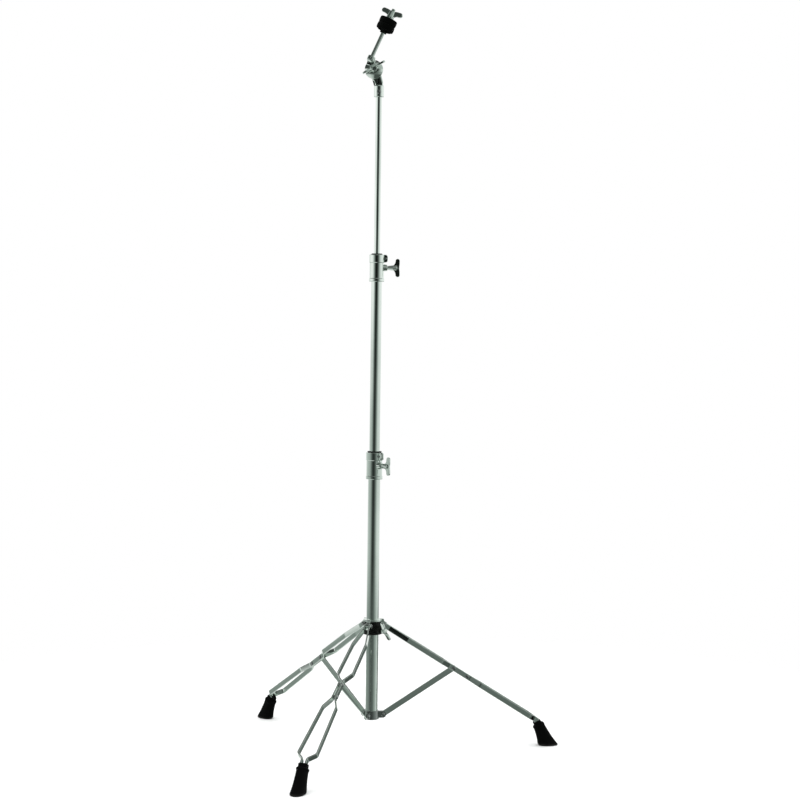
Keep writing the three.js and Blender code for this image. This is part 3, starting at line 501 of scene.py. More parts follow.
def dark_seat_finish(name, tint, shade):
    """Dark plating for the seat: two dark tints in clouds, and an edge tint that is dark too, so that it
    shows little reflection even at grazing angles.
    """
    recipe = Recipe(name)
    clouds = recipe.noise(scale=60.0, detail=4.0)
    wear = recipe.noise(scale=240.0, detail=4.0)
    grain = recipe.noise(scale=900.0, detail=2.0)
    recipe.set(
        base_color=recipe.clouded(clouds, tint, shade, start=0.38, end=0.66),
        metallic=1.0,
        roughness=recipe.spread(wear, low=0.28, high=0.4, start=0.4, end=0.7),
        specular_tint=tint,
        normal=recipe.ridges(grain, strength=0.06, distance=0.00005),
    )
    return recipe.material


def rubber_finish(name, tint, dust):
    """Moulded rubber: near black, a fine matt grain, and dust worn into the last few millimetres."""
    recipe = Recipe(name)
    upright = recipe.node("ShaderNodeSeparateXYZ")
    recipe.join(recipe.place, upright.inputs["Vector"])
    patches = recipe.noise(scale=90.0, detail=5.0, roughness=0.6)
    near_floor = recipe.spread(upright.outputs["Z"], 1.0, 0.0, DUSTY_HEIGHT, DUST_FREE_HEIGHT)
    worn = recipe.spread(patches, low=0.1, high=0.8, start=0.3, end=0.7)
    grain = recipe.noise(scale=1500.0, detail=3.0, roughness=0.7)
    swells = recipe.ridges(patches, strength=0.15, distance=0.0006)
    recipe.set(
        base_color=recipe.mixed(recipe.maths("MULTIPLY", near_floor, worn), tint, dust),
        roughness=recipe.spread(patches, low=0.55, high=0.82, start=0.3, end=0.7),
        specular_ior_level=0.05,
        normal=recipe.ridges(grain, strength=0.3, distance=0.00012, under=swells),
    )
    return recipe.material


def nylon_finish(name, tint, shade):
    """Moulded nylon: satin black with a faint flow pattern and fine tool grain."""
    recipe = Recipe(name)
    flow = recipe.noise(scale=55.0, detail=4.0, roughness=0.55, place=recipe.scaled_place(FLOW_GRAIN))
    grain = recipe.noise(scale=1900.0, detail=2.0)
    recipe.set(
        base_color=recipe.clouded(flow, tint, shade, start=0.35, end=0.7),
        roughness=recipe.spread(flow, low=0.34, high=0.46, start=0.3, end=0.75),
        specular_ior_level=0.16,
        normal=recipe.ridges(grain, strength=0.05, distance=0.00004),
    )
    return recipe.material


def felt_finish(name, tint, fibre):
    """Pressed wool felt: short crossing fibres, pale flecks, and a soft sheen."""
    recipe = Recipe(name)
    long_way, cross_way = [
        recipe.noise(scale=900.0, detail=6.0, roughness=0.75, place=recipe.scaled_place(way))
        for way in (LONG_FIBRES, CROSS_FIBRES)
    ]
    fibres = recipe.maths("MAXIMUM", long_way, cross_way)
    lumps = recipe.ridges(recipe.cells(scale=520.0), strength=0.35, distance=0.0006)
    recipe.set(
        base_color=recipe.clouded(fibres, tint, fibre, start=0.6, end=0.82),
        roughness=0.95,
        sheen_weight=0.025,
        sheen_roughness=0.6,
        specular_ior_level=0.02,
        normal=recipe.ridges(fibres, strength=0.7, distance=0.0005, under=lumps),
    )
    return recipe.material


FINISHES = {}


def new_finish(kind):
    """A finish in the sidebar's colours, named for its slot or its look."""
    tones = bpy.context.scene.stand_finishes
    chrome = (tuple(tones.chrome), tuple(tones.chrome_shade))
    steel = (tuple(tones.steel), tuple(tones.steel_shade))
    if kind == "chrome":
        return plated_finish("polished chrome plating", *chrome, tones.gloss)
    if kind == "drawn_chrome":
        return plated_finish("chrome on drawn tube", *chrome, tones.gloss, DRAWN_GRAIN)
    if kind == "dark_chrome":
        return plated_finish("chrome on pressed steel", *steel, tones.gloss + PRESSED_ROUGHNESS)
    # The seat's dark plating: darker than the chrome of its slot, with a dark edge tint
    if kind == "blackened":
        return dark_seat_finish("blackened plating", tuple(tones.blackened), tuple(tones.nylon_shade))
    if kind == "rivet_steel":
        return steel_finish("rivet steel", *steel)
    if kind == "rubber":
        return rubber_finish("boot rubber", tuple(tones.rubber), tuple(tones.dust))
    if kind == "nylon":
        return nylon_finish("black nylon", tuple(tones.nylon), tuple(tones.nylon_shade))
    if kind == "felt":
        return felt_finish("black wool felt", tuple(tones.felt), tuple(tones.fibre))
    raise KeyError(f"no finish is called {kind}")


def finish(kind):
    """A finish, made at its first use and shared by all the pieces that have it."""
    if kind not in FINISHES:
        FINISHES[kind] = new_finish(kind)
    return FINISHES[kind]


# Shapes that several pieces share: a corner of an outline is (x, y, radius)

DOME_POWER = 0.9
HEAD_RIM = 0.12
BOLT_CROWN_INSET = 1.4 * MM
BOLT_CROWN_RISE = 0.5 * MM
BOLT_TIP_BEVEL = 0.6 * MM
BOLT_FOOT_HEIGHT = 2.2 * MM
BOLT_WAIST = 0.55


def ring_profile(inner, outer, bottom, top, ease):
    """The closed section of a plain ring, with its four corners eased."""
    corners = [(inner, bottom, ease), (outer, bottom, ease), (outer, top, ease), (inner, top, ease)]
    return eased_corners(corners, True)


def rivet(stack, shank, head, height):
    """A rivet along Y, with a domed head on each side of a stack.

    A head's profile is r = R sin t and h = H (cos t)^0.9, t from 0 to a quarter turn, on a low rim.
    """
    dome = np.linspace(0, 1, 9)
    radius = head * np.sin(dome * math.pi / 2)
    rise = height * np.cos(dome * math.pi / 2) ** DOME_POWER
    face = stack / 2
    top = np.column_stack([radius, face + rise])
    top[-1, 1] = face + HEAD_RIM * height
    under = np.array([[head, face], [shank, face]])
    half = np.vstack([top, under])
    profile = np.vstack([half, (half * [1, -1])[::-1]])
    return [moved(revolved(profile, 40), AXIS_ALONG_Y)]


def wing_outline(size, points=14):
    """One wing beside an axis along X: a round lobe on a web whose two edges are quadratic curves."""
    side = size["span"] / 2 - size["lobe"]
    rise, lobe, hub = size["rise"], size["lobe"], size["hub"]
    start, end = size["length"] * size["root"], rise + lobe * size["crest"]
    share = np.linspace(0, 1, points)[:, None]

    def curve(first, control, last):
        """Quadratic curve: (1 - s)^2 first + 2 s (1 - s) control + s^2 last."""
        return (1 - share) ** 2 * first + 2 * share * (1 - share) * control + share**2 * last

    low = curve(np.array([start, hub / 2]), np.array([rise - lobe, hub]), np.array([rise - lobe, side]))
    angles = np.linspace(math.pi, 0, 2 * points)[1:-1, None]
    round_end = np.array([rise, side]) + lobe * np.hstack([np.cos(angles), np.sin(angles)])
    high = curve(np.array([rise + lobe, side]), np.array([rise + lobe, hub]), np.array([end, hub / 2]))
    root = np.array([[end, 0.0], [start, 0.0]])
    return np.vstack([low, round_end, high, root])[::-1]


def wings(size, thickness, edge):
    """Two wings opposite each other, in the XZ plane beside an axis along +X."""
    one = moved(plate(wing_outline(size), thickness, edge, 5), PLATE_UPRIGHT)
    return [one, moved(one, turned_about_x(math.pi))]


def wing_bolt(size, shank, reach, clamps):
    """A wing bolt along +X: a flared round hub on a shank that reaches back, its crown slightly domed."""
    hub, top, foot = size["hub"], size["length"], WING_FOOT
    dome = np.linspace(0, 1, 7)[:, None]
    rise = BOLT_CROWN_RISE * np.sin(dome * math.pi / 2)
    crown = np.hstack([(hub - BOLT_CROWN_INSET) * (1 - dome), top + rise])
    flare = eased_corners([
        (0.0, -reach, 0),
        (shank - BOLT_TIP_BEVEL, -reach, 0),
        (shank, BOLT_TIP_BEVEL - reach, 0),
        (shank, 0.0, 0),
        (foot, 0.0, 0.5 * MM),
        (foot + 0.3 * MM, BOLT_FOOT_HEIGHT, 1.5 * MM),
        (hub, top * BOLT_WAIST, 5 * MM),
        (hub, top, BOLT_CROWN_INSET),
        (hub - 1.5 * MM, top, 0),
    ], False)
    profile = np.vstack([flare, crown[1:]])
    cast = wings(size, clamps.wing_thickness, clamps.edge)
    return [moved(revolved(profile, 48), AXIS_ALONG_X), *cast]


# Sizes shared by the operators, in metres

# A wing's span runs from tip to tip, and its rise from the hub's foot to the lobes' middle. Its
# web starts at the root, a share of the hub's length, and ends at the crest, which is counted from
# the lobes' middle in lobe radii.
COLLAR_WING = {
    "hub": 6 * MM,
    "length": 13 * MM,
    "span": 44 * MM,
    "rise": 14 * MM,
    "lobe": 4.6 * MM,
    "root": 0.3,
    "crest": -0.2,
}
CLAMP_WING = {
    "hub": 5.6 * MM,
    "length": 20 * MM,
    "span": 38 * MM,
    "rise": 21 * MM,
    "lobe": 4.6 * MM,
    "root": 0.3,
    "crest": 0.8,
}
TILTER_WING = {
    "hub": 7 * MM,
    "length": 18 * MM,
    "span": 52 * MM,
    "rise": 22 * MM,
    "lobe": 5.4 * MM,
    "root": 0.4,
    "crest": -0.6,
}
NUT_WING = {
    "hub": 8 * MM,
    "length": 17 * MM,
    "span": 51 * MM,
    "rise": 14 * MM,
    "lobe": 5 * MM,
    "root": 0.1,
    "crest": 0.5,
}
WING_FOOT = 4.2 * MM
PIVOT_GAP = 0.3 * MM
SMALL_EASE = 0.35 * MM
RIVET_SHANK = 2.3 * MM
BRACKET_EAR = 2.5 * MM
COLLAR_TONGUE = 8 * MM
COLLAR_BOLT_DROP = 8 * MM
COLLAR_BOSS_REACH = 29 * MM
CLAMP_BOSS_REACH = 7 * MM
TUBE_CLEARANCE = 1.2 * MM
NUT_HEIGHT = 5.5 * MM


# What a user may change: sizes first, then colours


def length(name, millimetres, description):
    """A size in the sidebar, given in millimetres and held in metres."""
    return FloatProperty(
        name=name, description=description, default=millimetres * MM, min=0.0, unit="LENGTH", precision=4)


def angle(name, degrees, description):
    """An angle in the sidebar, given in degrees and held in radians."""
    return FloatProperty(
        name=name, description=description, default=math.radians(degrees), subtype="ANGLE")


def colour(name, red, green, blue, description):
    """A colour in the sidebar."""
    return FloatVectorProperty(
        name=name, description=description, default=(red, green, blue), min=0.0, max=1.0, size=3,
        subtype="COLOR")


class TubeSizes(PropertyGroup):
    """Sizes of the three tubes"""

    base_radius: length("Base tube radius", 12.7, "Outer radius of the lowest tube")
    middle_radius: length("Middle tube radius", 11.0, "Outer radius of the middle tube")
    top_radius: length("Top tube radius", 6.35, "Outer radius of the top tube")
    wall: length("Wall", 1.1, "Wall of the two wider tubes")
    top_wall: length("Top tube wall", 1.0, "Wall of the top tube")
    gap: length("Running gap", 0.3, "Gap between pieces that slide or turn on each other")
    mouth_ease: length("Mouth rounding", 0.25, "Rounding of the tubes' cut ends")
    columns: IntProperty(
        name="Columns", description="Facets round each tube", default=96, min=24, max=256)


class TripodSizes(PropertyGroup):
    """Sizes of the legs, the braces and the boots"""

    strip_thickness: length("Strip thickness", 3.0, "Thickness of each of a leg's two strips")
    strip_height: length("Strip height", 11.0, "Height of each strip, seen from the side")
    strip_edge: length("Strip edge", 0.9, "Rounding of the strips' rolled edges")
    brace_thickness: length("Brace thickness", 3.0, "Thickness of each brace")
    brace_height: length("Brace height", 12.0, "Height of each brace")
    tip_length: length("Tip length", 30.0, "Length of the strips' ends inside the boot")
    tip_pitch: angle("Tip pitch", 63.0, "Slope of the strips' ends and of the boots")
    ankle: length("Ankle", 391.0, "Distance from the collar's pin to the bend above the boot")
    waist_rivet: length("Waist rivet", 212.0, "Distance from the collar's pin to the leg's second rivet")
    rivet_head: length("Rivet head", 4.4, "Radius of the rivets' heads")
    rivet_rise: length("Rivet rise", 2.1, "Height of the rivets' domed heads")
    boot_length: length("Boot length", 43.0, "Length of a boot's sole")
    boot_width: length("Boot width", 29.0, "Width of a boot's sole")
    boot_height: length("Boot height", 45.0, "Height of a boot's rim above the floor")


class ClampSizes(PropertyGroup):
    """Sizes of the sleeve clamps and of all the wings"""

    wall: length("Sleeve wall", 3.6, "Wall of the two clamp sleeves")
    below: length("Below the tube's end", 43.0, "How far a sleeve reaches down the lower tube")
    above: length("Above the tube's end", 13.0, "How far a sleeve reaches above the lower tube")
    band: length("Band", 0.9, "Step of the raised bands at a sleeve's ends")
    slit: length("Slit", 2.0, "Width of the slit that the wing bolt and the screw close")
    bolt_drop: length("Bolt drop", 14.0, "Drop from the tube's end to the wing bolt's axis")
    bolt_radius: length("Bolt radius", 3.0, "Radius of the wing bolts' shanks")
    wing_thickness: length("Wing thickness", 4.0, "Thickness of every wing")
    edge: length("Cast edge", 0.8, "Rounding of the cast pieces' edges")


class TilterSizes(PropertyGroup):
    """Sizes of the tilter, the rod and the felts"""

    disc_radius: length("Disc radius", 19.0, "Radius of the two toothed discs")
    disc_thickness: length("Disc thickness", 7.0, "Thickness of each disc behind its teeth")
    teeth: IntProperty(name="Teeth", description="Teeth on each disc", default=24, min=8, max=60)
    tooth_height: length("Tooth height", 1.6, "Height of the teeth")
    socket_radius: length("Socket radius", 10.4, "Radius of the socket on the top tube")
    rod_radius: length("Rod radius", 4.0, "Radius of the cymbal rod")
    rod_length: length("Rod length", 117.0, "Whole length of the cymbal rod")
    thread_pitch: length("Thread pitch", 1.25, "Pitch of the thread on the rod's end")
    felt_radius: length("Felt radius", 18.3, "Radius of the felts")
    felt_height: length("Felt height", 12.5, "Height of each felt")


class StandFinishes(PropertyGroup):
    """Colours of the finishes"""

    chrome: colour("Chrome", 0.76, 0.83, 0.78, "Main tint of the plating")
    chrome_shade: colour("Chrome shade", 0.68, 0.75, 0.70, "Second tint of the plating, in soft clouds")
    # Tint of the seat's dark plating, drawn darker than the chrome of its slot
    blackened: colour("Blackened plating", 0.02, 0.022, 0.02, "Main tint of the seat under the felts")
    steel: colour("Rivet steel", 0.36, 0.38, 0.37, "Main tint of the rivets and the lower bracket")
    steel_shade: colour("Rivet shade", 0.22, 0.235, 0.23, "Second tint of the rivets and the bracket")
    rubber: colour("Rubber", 0.002, 0.002, 0.002, "Boot rubber")
    dust: colour("Dust", 0.06, 0.058, 0.054, "Dust worn into the rubber near the floor")
    nylon: colour("Nylon", 0.003, 0.0035, 0.003, "Moulded nylon")
    nylon_shade: colour("Nylon shade", 0.006, 0.007, 0.006, "Second tone of the nylon")
    felt: colour("Felt", 0.0012, 0.0015, 0.0012, "Pressed felt")
    fibre: colour("Fibre", 0.008, 0.009, 0.008, "Paler fibres in the felt")
    gloss: FloatProperty(
        name="Plating roughness", description="Roughness of clean plating", default=0.06, min=0.0, max=1.0)


class StudioSettings(PropertyGroup):
    """The camera's lens, the floor and the lights"""

    lens: FloatProperty(
        name="Lens", description="Focal length in millimetres", default=78.58, min=10.0)
    floor_radius: FloatProperty(
        name="Floor radius", description="Radius of the pale floor", default=1.5, min=0.5, unit="LENGTH")
    floor_tone: colour("Floor", 0.86, 0.86, 0.86, "Tone of the floor")
    sky: FloatProperty(
        name="Overhead light", description="Strength of the light from above", default=2.6, min=0.0)
    key: FloatProperty(
        name="Key light", description="Power of the soft key light in watts", default=14.0, min=0.0)


# Tubes and what lines them

LINING_WALL = 1.6 * MM
PLUG = {"wall": 2 * MM, "flange": 2.5 * MM, "floor": 6 * MM, "foot_ease": 0.9 * MM}
GUIDE_FLANGE = 4 * MM
BUSHING_FLANGE = 2 * MM


def tube_shell(node, radius, wall, ease, columns):
    """A tube as long as its node, round the mast."""
    low, high = node_box(node)
    profile = ring_profile(radius - wall, radius, low[2], high[2], ease)
    return moved(ringed(profile, columns), None, MAST)


class STAND_OT_tubes(Operator):
    """Draw the three sliding tubes: a ring section turned about the mast's axis, its mouths eased"""

    bl_idname = "stand.tubes"
    bl_label = "Tubes"

    def execute(self, context):
        tubes = context.scene.stand_tubes
        rows = (
            ("base_tube", "base", tubes.base_radius, tubes.wall),
            ("middle_tube", "middle_tube", tubes.middle_radius, tubes.wall),
            ("top_tube", "top_tube", tubes.top_radius, tubes.top_wall),
        )
        for node, body, radius, wall in rows:
            shell = tube_shell(node, radius, wall, tubes.mouth_ease, tubes.columns)
            make_piece(f"{node}_plated", [shell], node, body, "chrome", "drawn_chrome")
        return {"FINISHED"}


def plug_profile(tubes):
    """The base tube's plug: a cup inside the tube, on a flange as wide as the tube."""
    low, high = node_box("base_tube_plug")
    foot, top = low[2], high[2]
    stem = tubes.base_radius - tubes.wall - tubes.gap
    inside = stem - PLUG["wall"]
    return eased_corners([
        (0, foot, 0),
        (tubes.base_radius, foot, PLUG["foot_ease"]),
        (tubes.base_radius, foot + PLUG["flange"], SMALL_EASE),
        (stem, foot + PLUG["flange"], 0),
        (stem, top, SMALL_EASE),
        (inside, top, SMALL_EASE),
        (inside, foot + PLUG["floor"], SMALL_EASE),
        (0, foot + PLUG["floor"], 0),
    ], False)


def guide_profile(node, stem, flange, gap):
    """A guide ring: a stem inside the upper tube, on a flange that slides in the lower one."""
    low, high = node_box(node)
    shoulder = low[2] + GUIDE_FLANGE - gap
    return eased_corners([
        (stem - LINING_WALL, low[2], SMALL_EASE),
        (flange, low[2], 0.6 * MM),
        (flange, shoulder, SMALL_EASE),
        (stem, shoulder, 0),
        (stem, high[2], 0.5 * MM),
        (stem - LINING_WALL, high[2], SMALL_EASE),
    ], True)


def bushing_profile(node, bore, stem, flange):
    """A bushing: a thin sleeve that hangs in a clamp from its flange."""
    low, high = node_box(node)
    shoulder = high[2] - BUSHING_FLANGE
    return eased_corners([
        (bore, low[2], SMALL_EASE),
        (stem, low[2], SMALL_EASE),
        (stem, shoulder, 0),
        (flange, shoulder, SMALL_EASE),
        (flange, high[2], 0.8 * MM),
        (bore, high[2], 0.5 * MM),
    ], True)


class STAND_OT_linings(Operator):
    """Turn the nylon plug, the two guides and the two bushings from their eased sections"""

    bl_idname = "stand.linings"
    bl_label = "Plug, guides and bushings"

    def execute(self, context):
        tubes = context.scene.stand_tubes
        gap, wall = tubes.gap, tubes.wall
        plug = moved(revolved(plug_profile(tubes)), None, MAST)
        make_piece("base_tube_plug_moulded", [plug], "base_tube_plug", "base", "nylon")
        base_bore, middle_bore = tubes.base_radius - wall, tubes.middle_radius - wall
        top_bore = tubes.top_radius - tubes.top_wall
        passage = tubes.middle_radius + gap + LINING_WALL
        guides = (
            ("middle_tube_guide", "middle_guide", middle_bore - gap, base_bore - gap),
            ("top_tube_guide", "top_guide", top_bore - gap, middle_bore - gap),
        )
        for node, body, stem, flange in guides:
            ring = ringed(guide_profile(node, stem, flange, gap))
            make_piece(f"{node}_moulded", [moved(ring, None, MAST)], node, body, "nylon")
        bushings = (
            ("middle_clamp", "base", tubes.middle_radius + gap, passage, passage + gap + LINING_WALL),
            ("upper_clamp", "middle_tube", tubes.top_radius + gap, middle_bore - gap,
             middle_bore + LINING_WALL),
        )
        for clamp, body, bore, stem, flange in bushings:
            node = f"{clamp}_bushing"
            ring = ringed(bushing_profile(node, bore, stem, flange))
            make_piece(f"{node}_moulded", [moved(ring, None, MAST)], node, body, "nylon")
        return {"FINISHED"}


# Tripod

BRACKET = {
    "band": 2.6 * MM,
    "half_height": 9 * MM,
    "ease": 0.7 * MM,
    "ear_root": 1.3 * MM,
    "ear_height": 14 * MM,
    "ear_ease": 0.6 * MM,
}
BRACE_EDGE = 0.8 * MM
STRIP_BEND = 7 * MM
ANKLE_BEND = 11 * MM
COLLAR_SPREAD = 4.3 * MM
FLARE_START = 13 * MM
UPPER_SPREAD = ((58 * MM, 14.5 * MM), (146 * MM, 16.2 * MM))
WAIST = (167 * MM, 219 * MM)
LOWER_SPREAD = ((243 * MM, 14.4 * MM), (372 * MM, 19.5 * MM), (385 * MM, 5 * MM))
TIP_SPREAD = 5 * MM
HEAD_START = 0.06
HEAD_LEAST = 0.05
SPACER = {"radius": 3.8 * MM, "overlap": 0.2 * MM, "ease": 0.3 * MM}
CLAMP_SCREW = {"length": 10 * MM, "shank": 1.5 * MM, "head": 2.6 * MM, "rise": 1.5 * MM}


def bar_outline(reach, height, ends, columns=16):
    """A bar from 0 to its reach along X, with a half circle of the bar's height at each round end."""
    half = height / 2
    turn = np.linspace(-math.pi / 2, math.pi / 2, columns + 1)
    far = np.array([reach, 0]) + half * np.column_stack([np.cos(turn), np.sin(turn)])
    near = -half * np.column_stack([np.cos(turn), np.sin(turn)])
    if ends == "far":
        near = np.array([[0.0, half], [0.0, -half]])
    middle = np.linspace(0, 1, 9)[1:-1, None]
    low = near[-1] * (1 - middle) + far[0] * middle
    high = far[-1] * (1 - middle) + near[0] * middle
    return np.vstack([far, high, near, low])


class STAND_OT_lower_bracket(Operator):
    """Press the lower bracket: a band round the tube and six ears with rounded ends"""

    bl_idname = "stand.lower_bracket"
    bl_label = "Lower bracket"

    def execute(self, context):
        tubes, tripod = context.scene.stand_tubes, context.scene.stand_tripod
        bore = tubes.base_radius + tubes.gap
        half = BRACKET["half_height"]
        band = ring_profile(bore, bore + BRACKET["band"], -half, half, BRACKET["ease"])
        shells = [moved(ringed(band, tubes.columns), None, MAST + [0, 0, BRACKET_HEIGHT])]
        root = bore + BRACKET["ear_root"]
        outline = bar_outline(PIVOT_REACH - root, BRACKET["ear_height"], "far")
        ear = plate(outline, BRACKET_EAR, BRACKET["ear_ease"])
        offset = tripod.brace_thickness / 2 + tubes.gap + BRACKET_EAR / 2
        for leg in LEGS:
            for side in (-1, 1):
                flank = moved(ear, PLATE_UPRIGHT, (root, side * offset, BRACKET_HEIGHT))
                shells.append(moved(flank, leg_turn(leg), MAST))
        make_piece("lower_bracket_pressed", shells, "lower_bracket", "base", "dark_chrome")
        return {"FINISHED"}


class STAND_OT_braces(Operator):
    """Roll the three braces: flat bars with half-round ends and eased edges"""

    bl_idname = "stand.braces"
    bl_label = "Braces"

    def execute(self, context):
        tripod = context.scene.stand_tripod
        outline = bar_outline(ARM, tripod.brace_height, "both")
        bar = moved(plate(outline, tripod.brace_thickness, BRACE_EDGE), PLATE_UPRIGHT)
        raised = moved(bar, turned_about_y(-LEG_PITCH), (PIVOT_REACH, 0, BRACKET_HEIGHT))
        for leg in LEGS:
            shell = moved(raised, leg_turn(leg), MAST)
            make_piece(f"brace_{leg}_rolled", [shell], f"brace_{leg}", f"brace_{leg}", "chrome")
        return {"FINISHED"}


def strip_plan(tripod, end):
    """A strip seen from above: distance from the collar's pin and from the leg's middle plane.

    The strip spreads from the collar's tongue, pinches at the waist, spreads again and meets its
    twin at the ankle.
    """
    tongue = COLLAR_SPREAD + tripod.strip_thickness / 2
    close = tripod.brace_thickness / 2 + PIVOT_GAP + tripod.strip_thickness / 2
    bends = [(FLARE_START, tongue), *UPPER_SPREAD, (WAIST[0], close), (WAIST[1], close), *LOWER_SPREAD]
    return eased_corners([
        (-tripod.strip_height / 2, tongue, 0),
        *((place, spread, STRIP_BEND) for place, spread in bends),
        (end, TIP_SPREAD, 0),
    ], False, 8, 0.12)


def strip_path(tripod, side):
    """Stations along one strip: where it is, how it heads in plan and how it slopes.

    The plan is a polyline with eased corners. The side view is straight to the ankle and then
    falls by the difference of the two pitches. The strip's head is half round: at a distance x
    before the pin its height is 2 sqrt(h^2 - x^2).
    """
    half = tripod.strip_height / 2
    plan = strip_plan(tripod, tripod.ankle + tripod.tip_length)
    fall = tripod.tip_pitch - LEG_PITCH
    reach = tripod.ankle + tripod.tip_length * math.cos(fall)
    outline = eased_corners([
        (-half, 0, 0),
        (tripod.ankle, 0, ANKLE_BEND),
        (reach, -tripod.tip_length * math.sin(fall), 0),
    ], False, 8, 0.12)
    head = -half * np.cos(np.linspace(HEAD_START, math.pi / 2, 14))
    straight = np.linspace(0, reach, 60)
    x = np.concatenate([head, plan[1:-1, 0], outline[1:-1, 0], straight, [reach]])
    x = np.unique(np.round(x, 7))
    x = x[x <= reach]
    y = np.interp(x, plan[:, 0], plan[:, 1])
    z = np.interp(x, outline[:, 0], outline[:, 1])
    turn = np.arctan(np.gradient(y, x))
    slope = np.arctan(np.gradient(z, x))
    centres = np.column_stack([x, side * y, z])
    across = np.column_stack([-side * np.sin(turn), np.cos(turn), 0 * x])
    upright = np.column_stack([-np.sin(slope), 0 * x, np.cos(slope)])
    least = (HEAD_LEAST * half) ** 2
    heights = 2 * np.sqrt(np.maximum(half**2 - np.minimum(x, 0) ** 2, least))
    return centres, across, upright, heights


def leg_place(leg, x=0.0):
    """Turn and shift that carry a leg's own frame, shifted x along the leg, into the stand."""
    down = turned_about_y(LEG_PITCH)
    turn = leg_turn(leg)
    along = np.array([PIVOT_REACH, 0, COLLAR_HEIGHT]) + down @ np.array([x, 0, 0])
    return turn @ down, MAST + turn @ along


class STAND_OT_leg_strips(Operator):
    """Roll both strips of each leg: an eased section carried along the strip's plan and bend"""

    bl_idname = "stand.leg_strips"
    bl_label = "Leg strips"

    def execute(self, context):
        tripod = context.scene.stand_tripod
        for letter, side in (("a", 1), ("b", -1)):
            centres, across, upright, heights = strip_path(tripod, side)
            widths = np.full(len(centres), tripod.strip_thickness)
            strip = swept(centres, across, upright, widths, heights, tripod.strip_edge)
            for leg in LEGS:
                turn, origin = leg_place(leg)
                node = f"leg_strip_{leg}{letter}"
                make_piece(f"{node}_rolled", [moved(strip, turn, origin)], node, f"leg_{leg}", "chrome")
        return {"FINISHED"}


class STAND_OT_rivets(Operator):
    """Set every rivet, pin and clamp screw: a shank between two domed heads"""

    bl_idname = "stand.rivets"
    bl_label = "Rivets and pins"

    def execute(self, context):
        scene = context.scene
        tubes, tripod, tilter = scene.stand_tubes, scene.stand_tripod, scene.stand_tilter
        head, rise = tripod.rivet_head, tripod.rivet_rise

        def pin(stack):
            return rivet(stack, RIVET_SHANK, head, rise)

        def set_piece(node, body, shells, turn, place):
            make_piece(f"{node}_set", all_moved(shells, turn, place), node, body, "rivet_steel")

        gaps = 2 * tubes.gap
        waist = pin(2 * tripod.strip_thickness + gaps + tripod.brace_thickness)
        ears = pin(gaps + 2 * BRACKET_EAR + tripod.brace_thickness)
        tongues = pin(2 * tripod.strip_thickness + gaps + COLLAR_TONGUE)
        half = tripod.brace_thickness / 2
        collar = ring_profile(RIVET_SHANK - SPACER["overlap"], SPACER["radius"], -half, half, SPACER["ease"])
        spacer = moved(ringed(collar, 32), AXIS_ALONG_Y)
        for leg in LEGS:
            turn = leg_turn(leg)
            low = MAST + turn @ np.array([PIVOT_REACH, 0, BRACKET_HEIGHT])
            high = MAST + turn @ np.array([PIVOT_REACH, 0, COLLAR_HEIGHT])
            along, pinch = leg_place(leg, ARM)
            _, second = leg_place(leg, tripod.waist_rivet)
            set_piece(f"bracket_pin_{leg}", "base", ears, turn, low)
            set_piece(f"collar_pin_{leg}", "collar", tongues, turn, high)
            set_piece(f"brace_pin_{leg}", f"leg_{leg}", waist, along, pinch)
            set_piece(f"leg_rivet_{leg}", f"leg_{leg}", [*waist, spacer], along, second)
        set_piece("tilter_pin", "top_tube", pin(2 * tilter.socket_radius), None, node_middle("tilter_pin"))
        screw = rivet(CLAMP_SCREW["length"], CLAMP_SCREW["shank"], CLAMP_SCREW["head"], CLAMP_SCREW["rise"])
        for prefix, body in (("middle", "base"), ("upper", "middle_tube")):
            node = f"{prefix}_clamp_screw"
            set_piece(node, body, screw, turned_about_z(clamp_heading(prefix)), node_middle(node))
        return {"FINISHED"}


BOOT = {
    "sole_ease": 3.4 * MM,
    "sole_inset": 7 * MM,
    "sole_power": 2.2,
    "rim_power": 2.6,
    "waist": 2.6 * MM,
    "waist_across": 0.6,
    "bell_drop": 5 * MM,
    "bell_length": 24 * MM,
    "bell_width": 22.6 * MM,
    "bead": 1.3 * MM,
    "bead_drop": 4.6 * MM,
    "bead_height": 4.8 * MM,
    "bead_length": 23.6 * MM,
    "bead_width": 22.4 * MM,
    "bead_taper": (1.2 * MM, 0.6 * MM),
    "neck_margin": 5.4 * MM,
    "neck_width": 18.4 * MM,
}
# The square neck and the recess in it: millimetres above the rim, inset in millimetres, power
NECK_ROWS = (
    (0.6, -0.4, 4.0),
    (1.4, -0.1, 4.6),
    (3.0, 0.0, 5.0),
    (6.2, 0.0, 5.0),
    (7.2, 0.25, 5.0),
    (7.8, 0.8, 5.0),
    (7.9, 1.5, 5.0),
    (7.6, 2.1, 5.0),
    (6.8, 2.4, 5.5),
    (2.0, 2.4, 6.0),
)


def super_ring(length_along, width, power, columns):
    """A superellipse: x = a sgn(cos t) |cos t|^(2/n), y = b sgn(sin t) |sin t|^(2/n)."""
    t = TURN * np.arange(columns) / columns
    x = np.sign(np.cos(t)) * np.abs(np.cos(t)) ** (2 / power)
    y = np.sign(np.sin(t)) * np.abs(np.sin(t)) ** (2 / power)
    return np.column_stack([length_along / 2 * x, width / 2 * y, 0 * t])


def sole_rows(length_along, width):
    """Rows of the sole's rounded edge: height e (1 - cos t), inset e (1 - sin t)."""
    ease, inner, power = BOOT["sole_ease"], BOOT["sole_inset"], BOOT["sole_power"]
    rows = [(0.0, length_along - inner, width - inner, power, 0.0)]
    for turn in np.linspace(0, math.pi / 2, 7):
        inset = 2 * ease * (1 - math.sin(turn))
        rows.append((ease * (1 - math.cos(turn)), length_along - inset, width - inset, power, 0.0))
    return rows


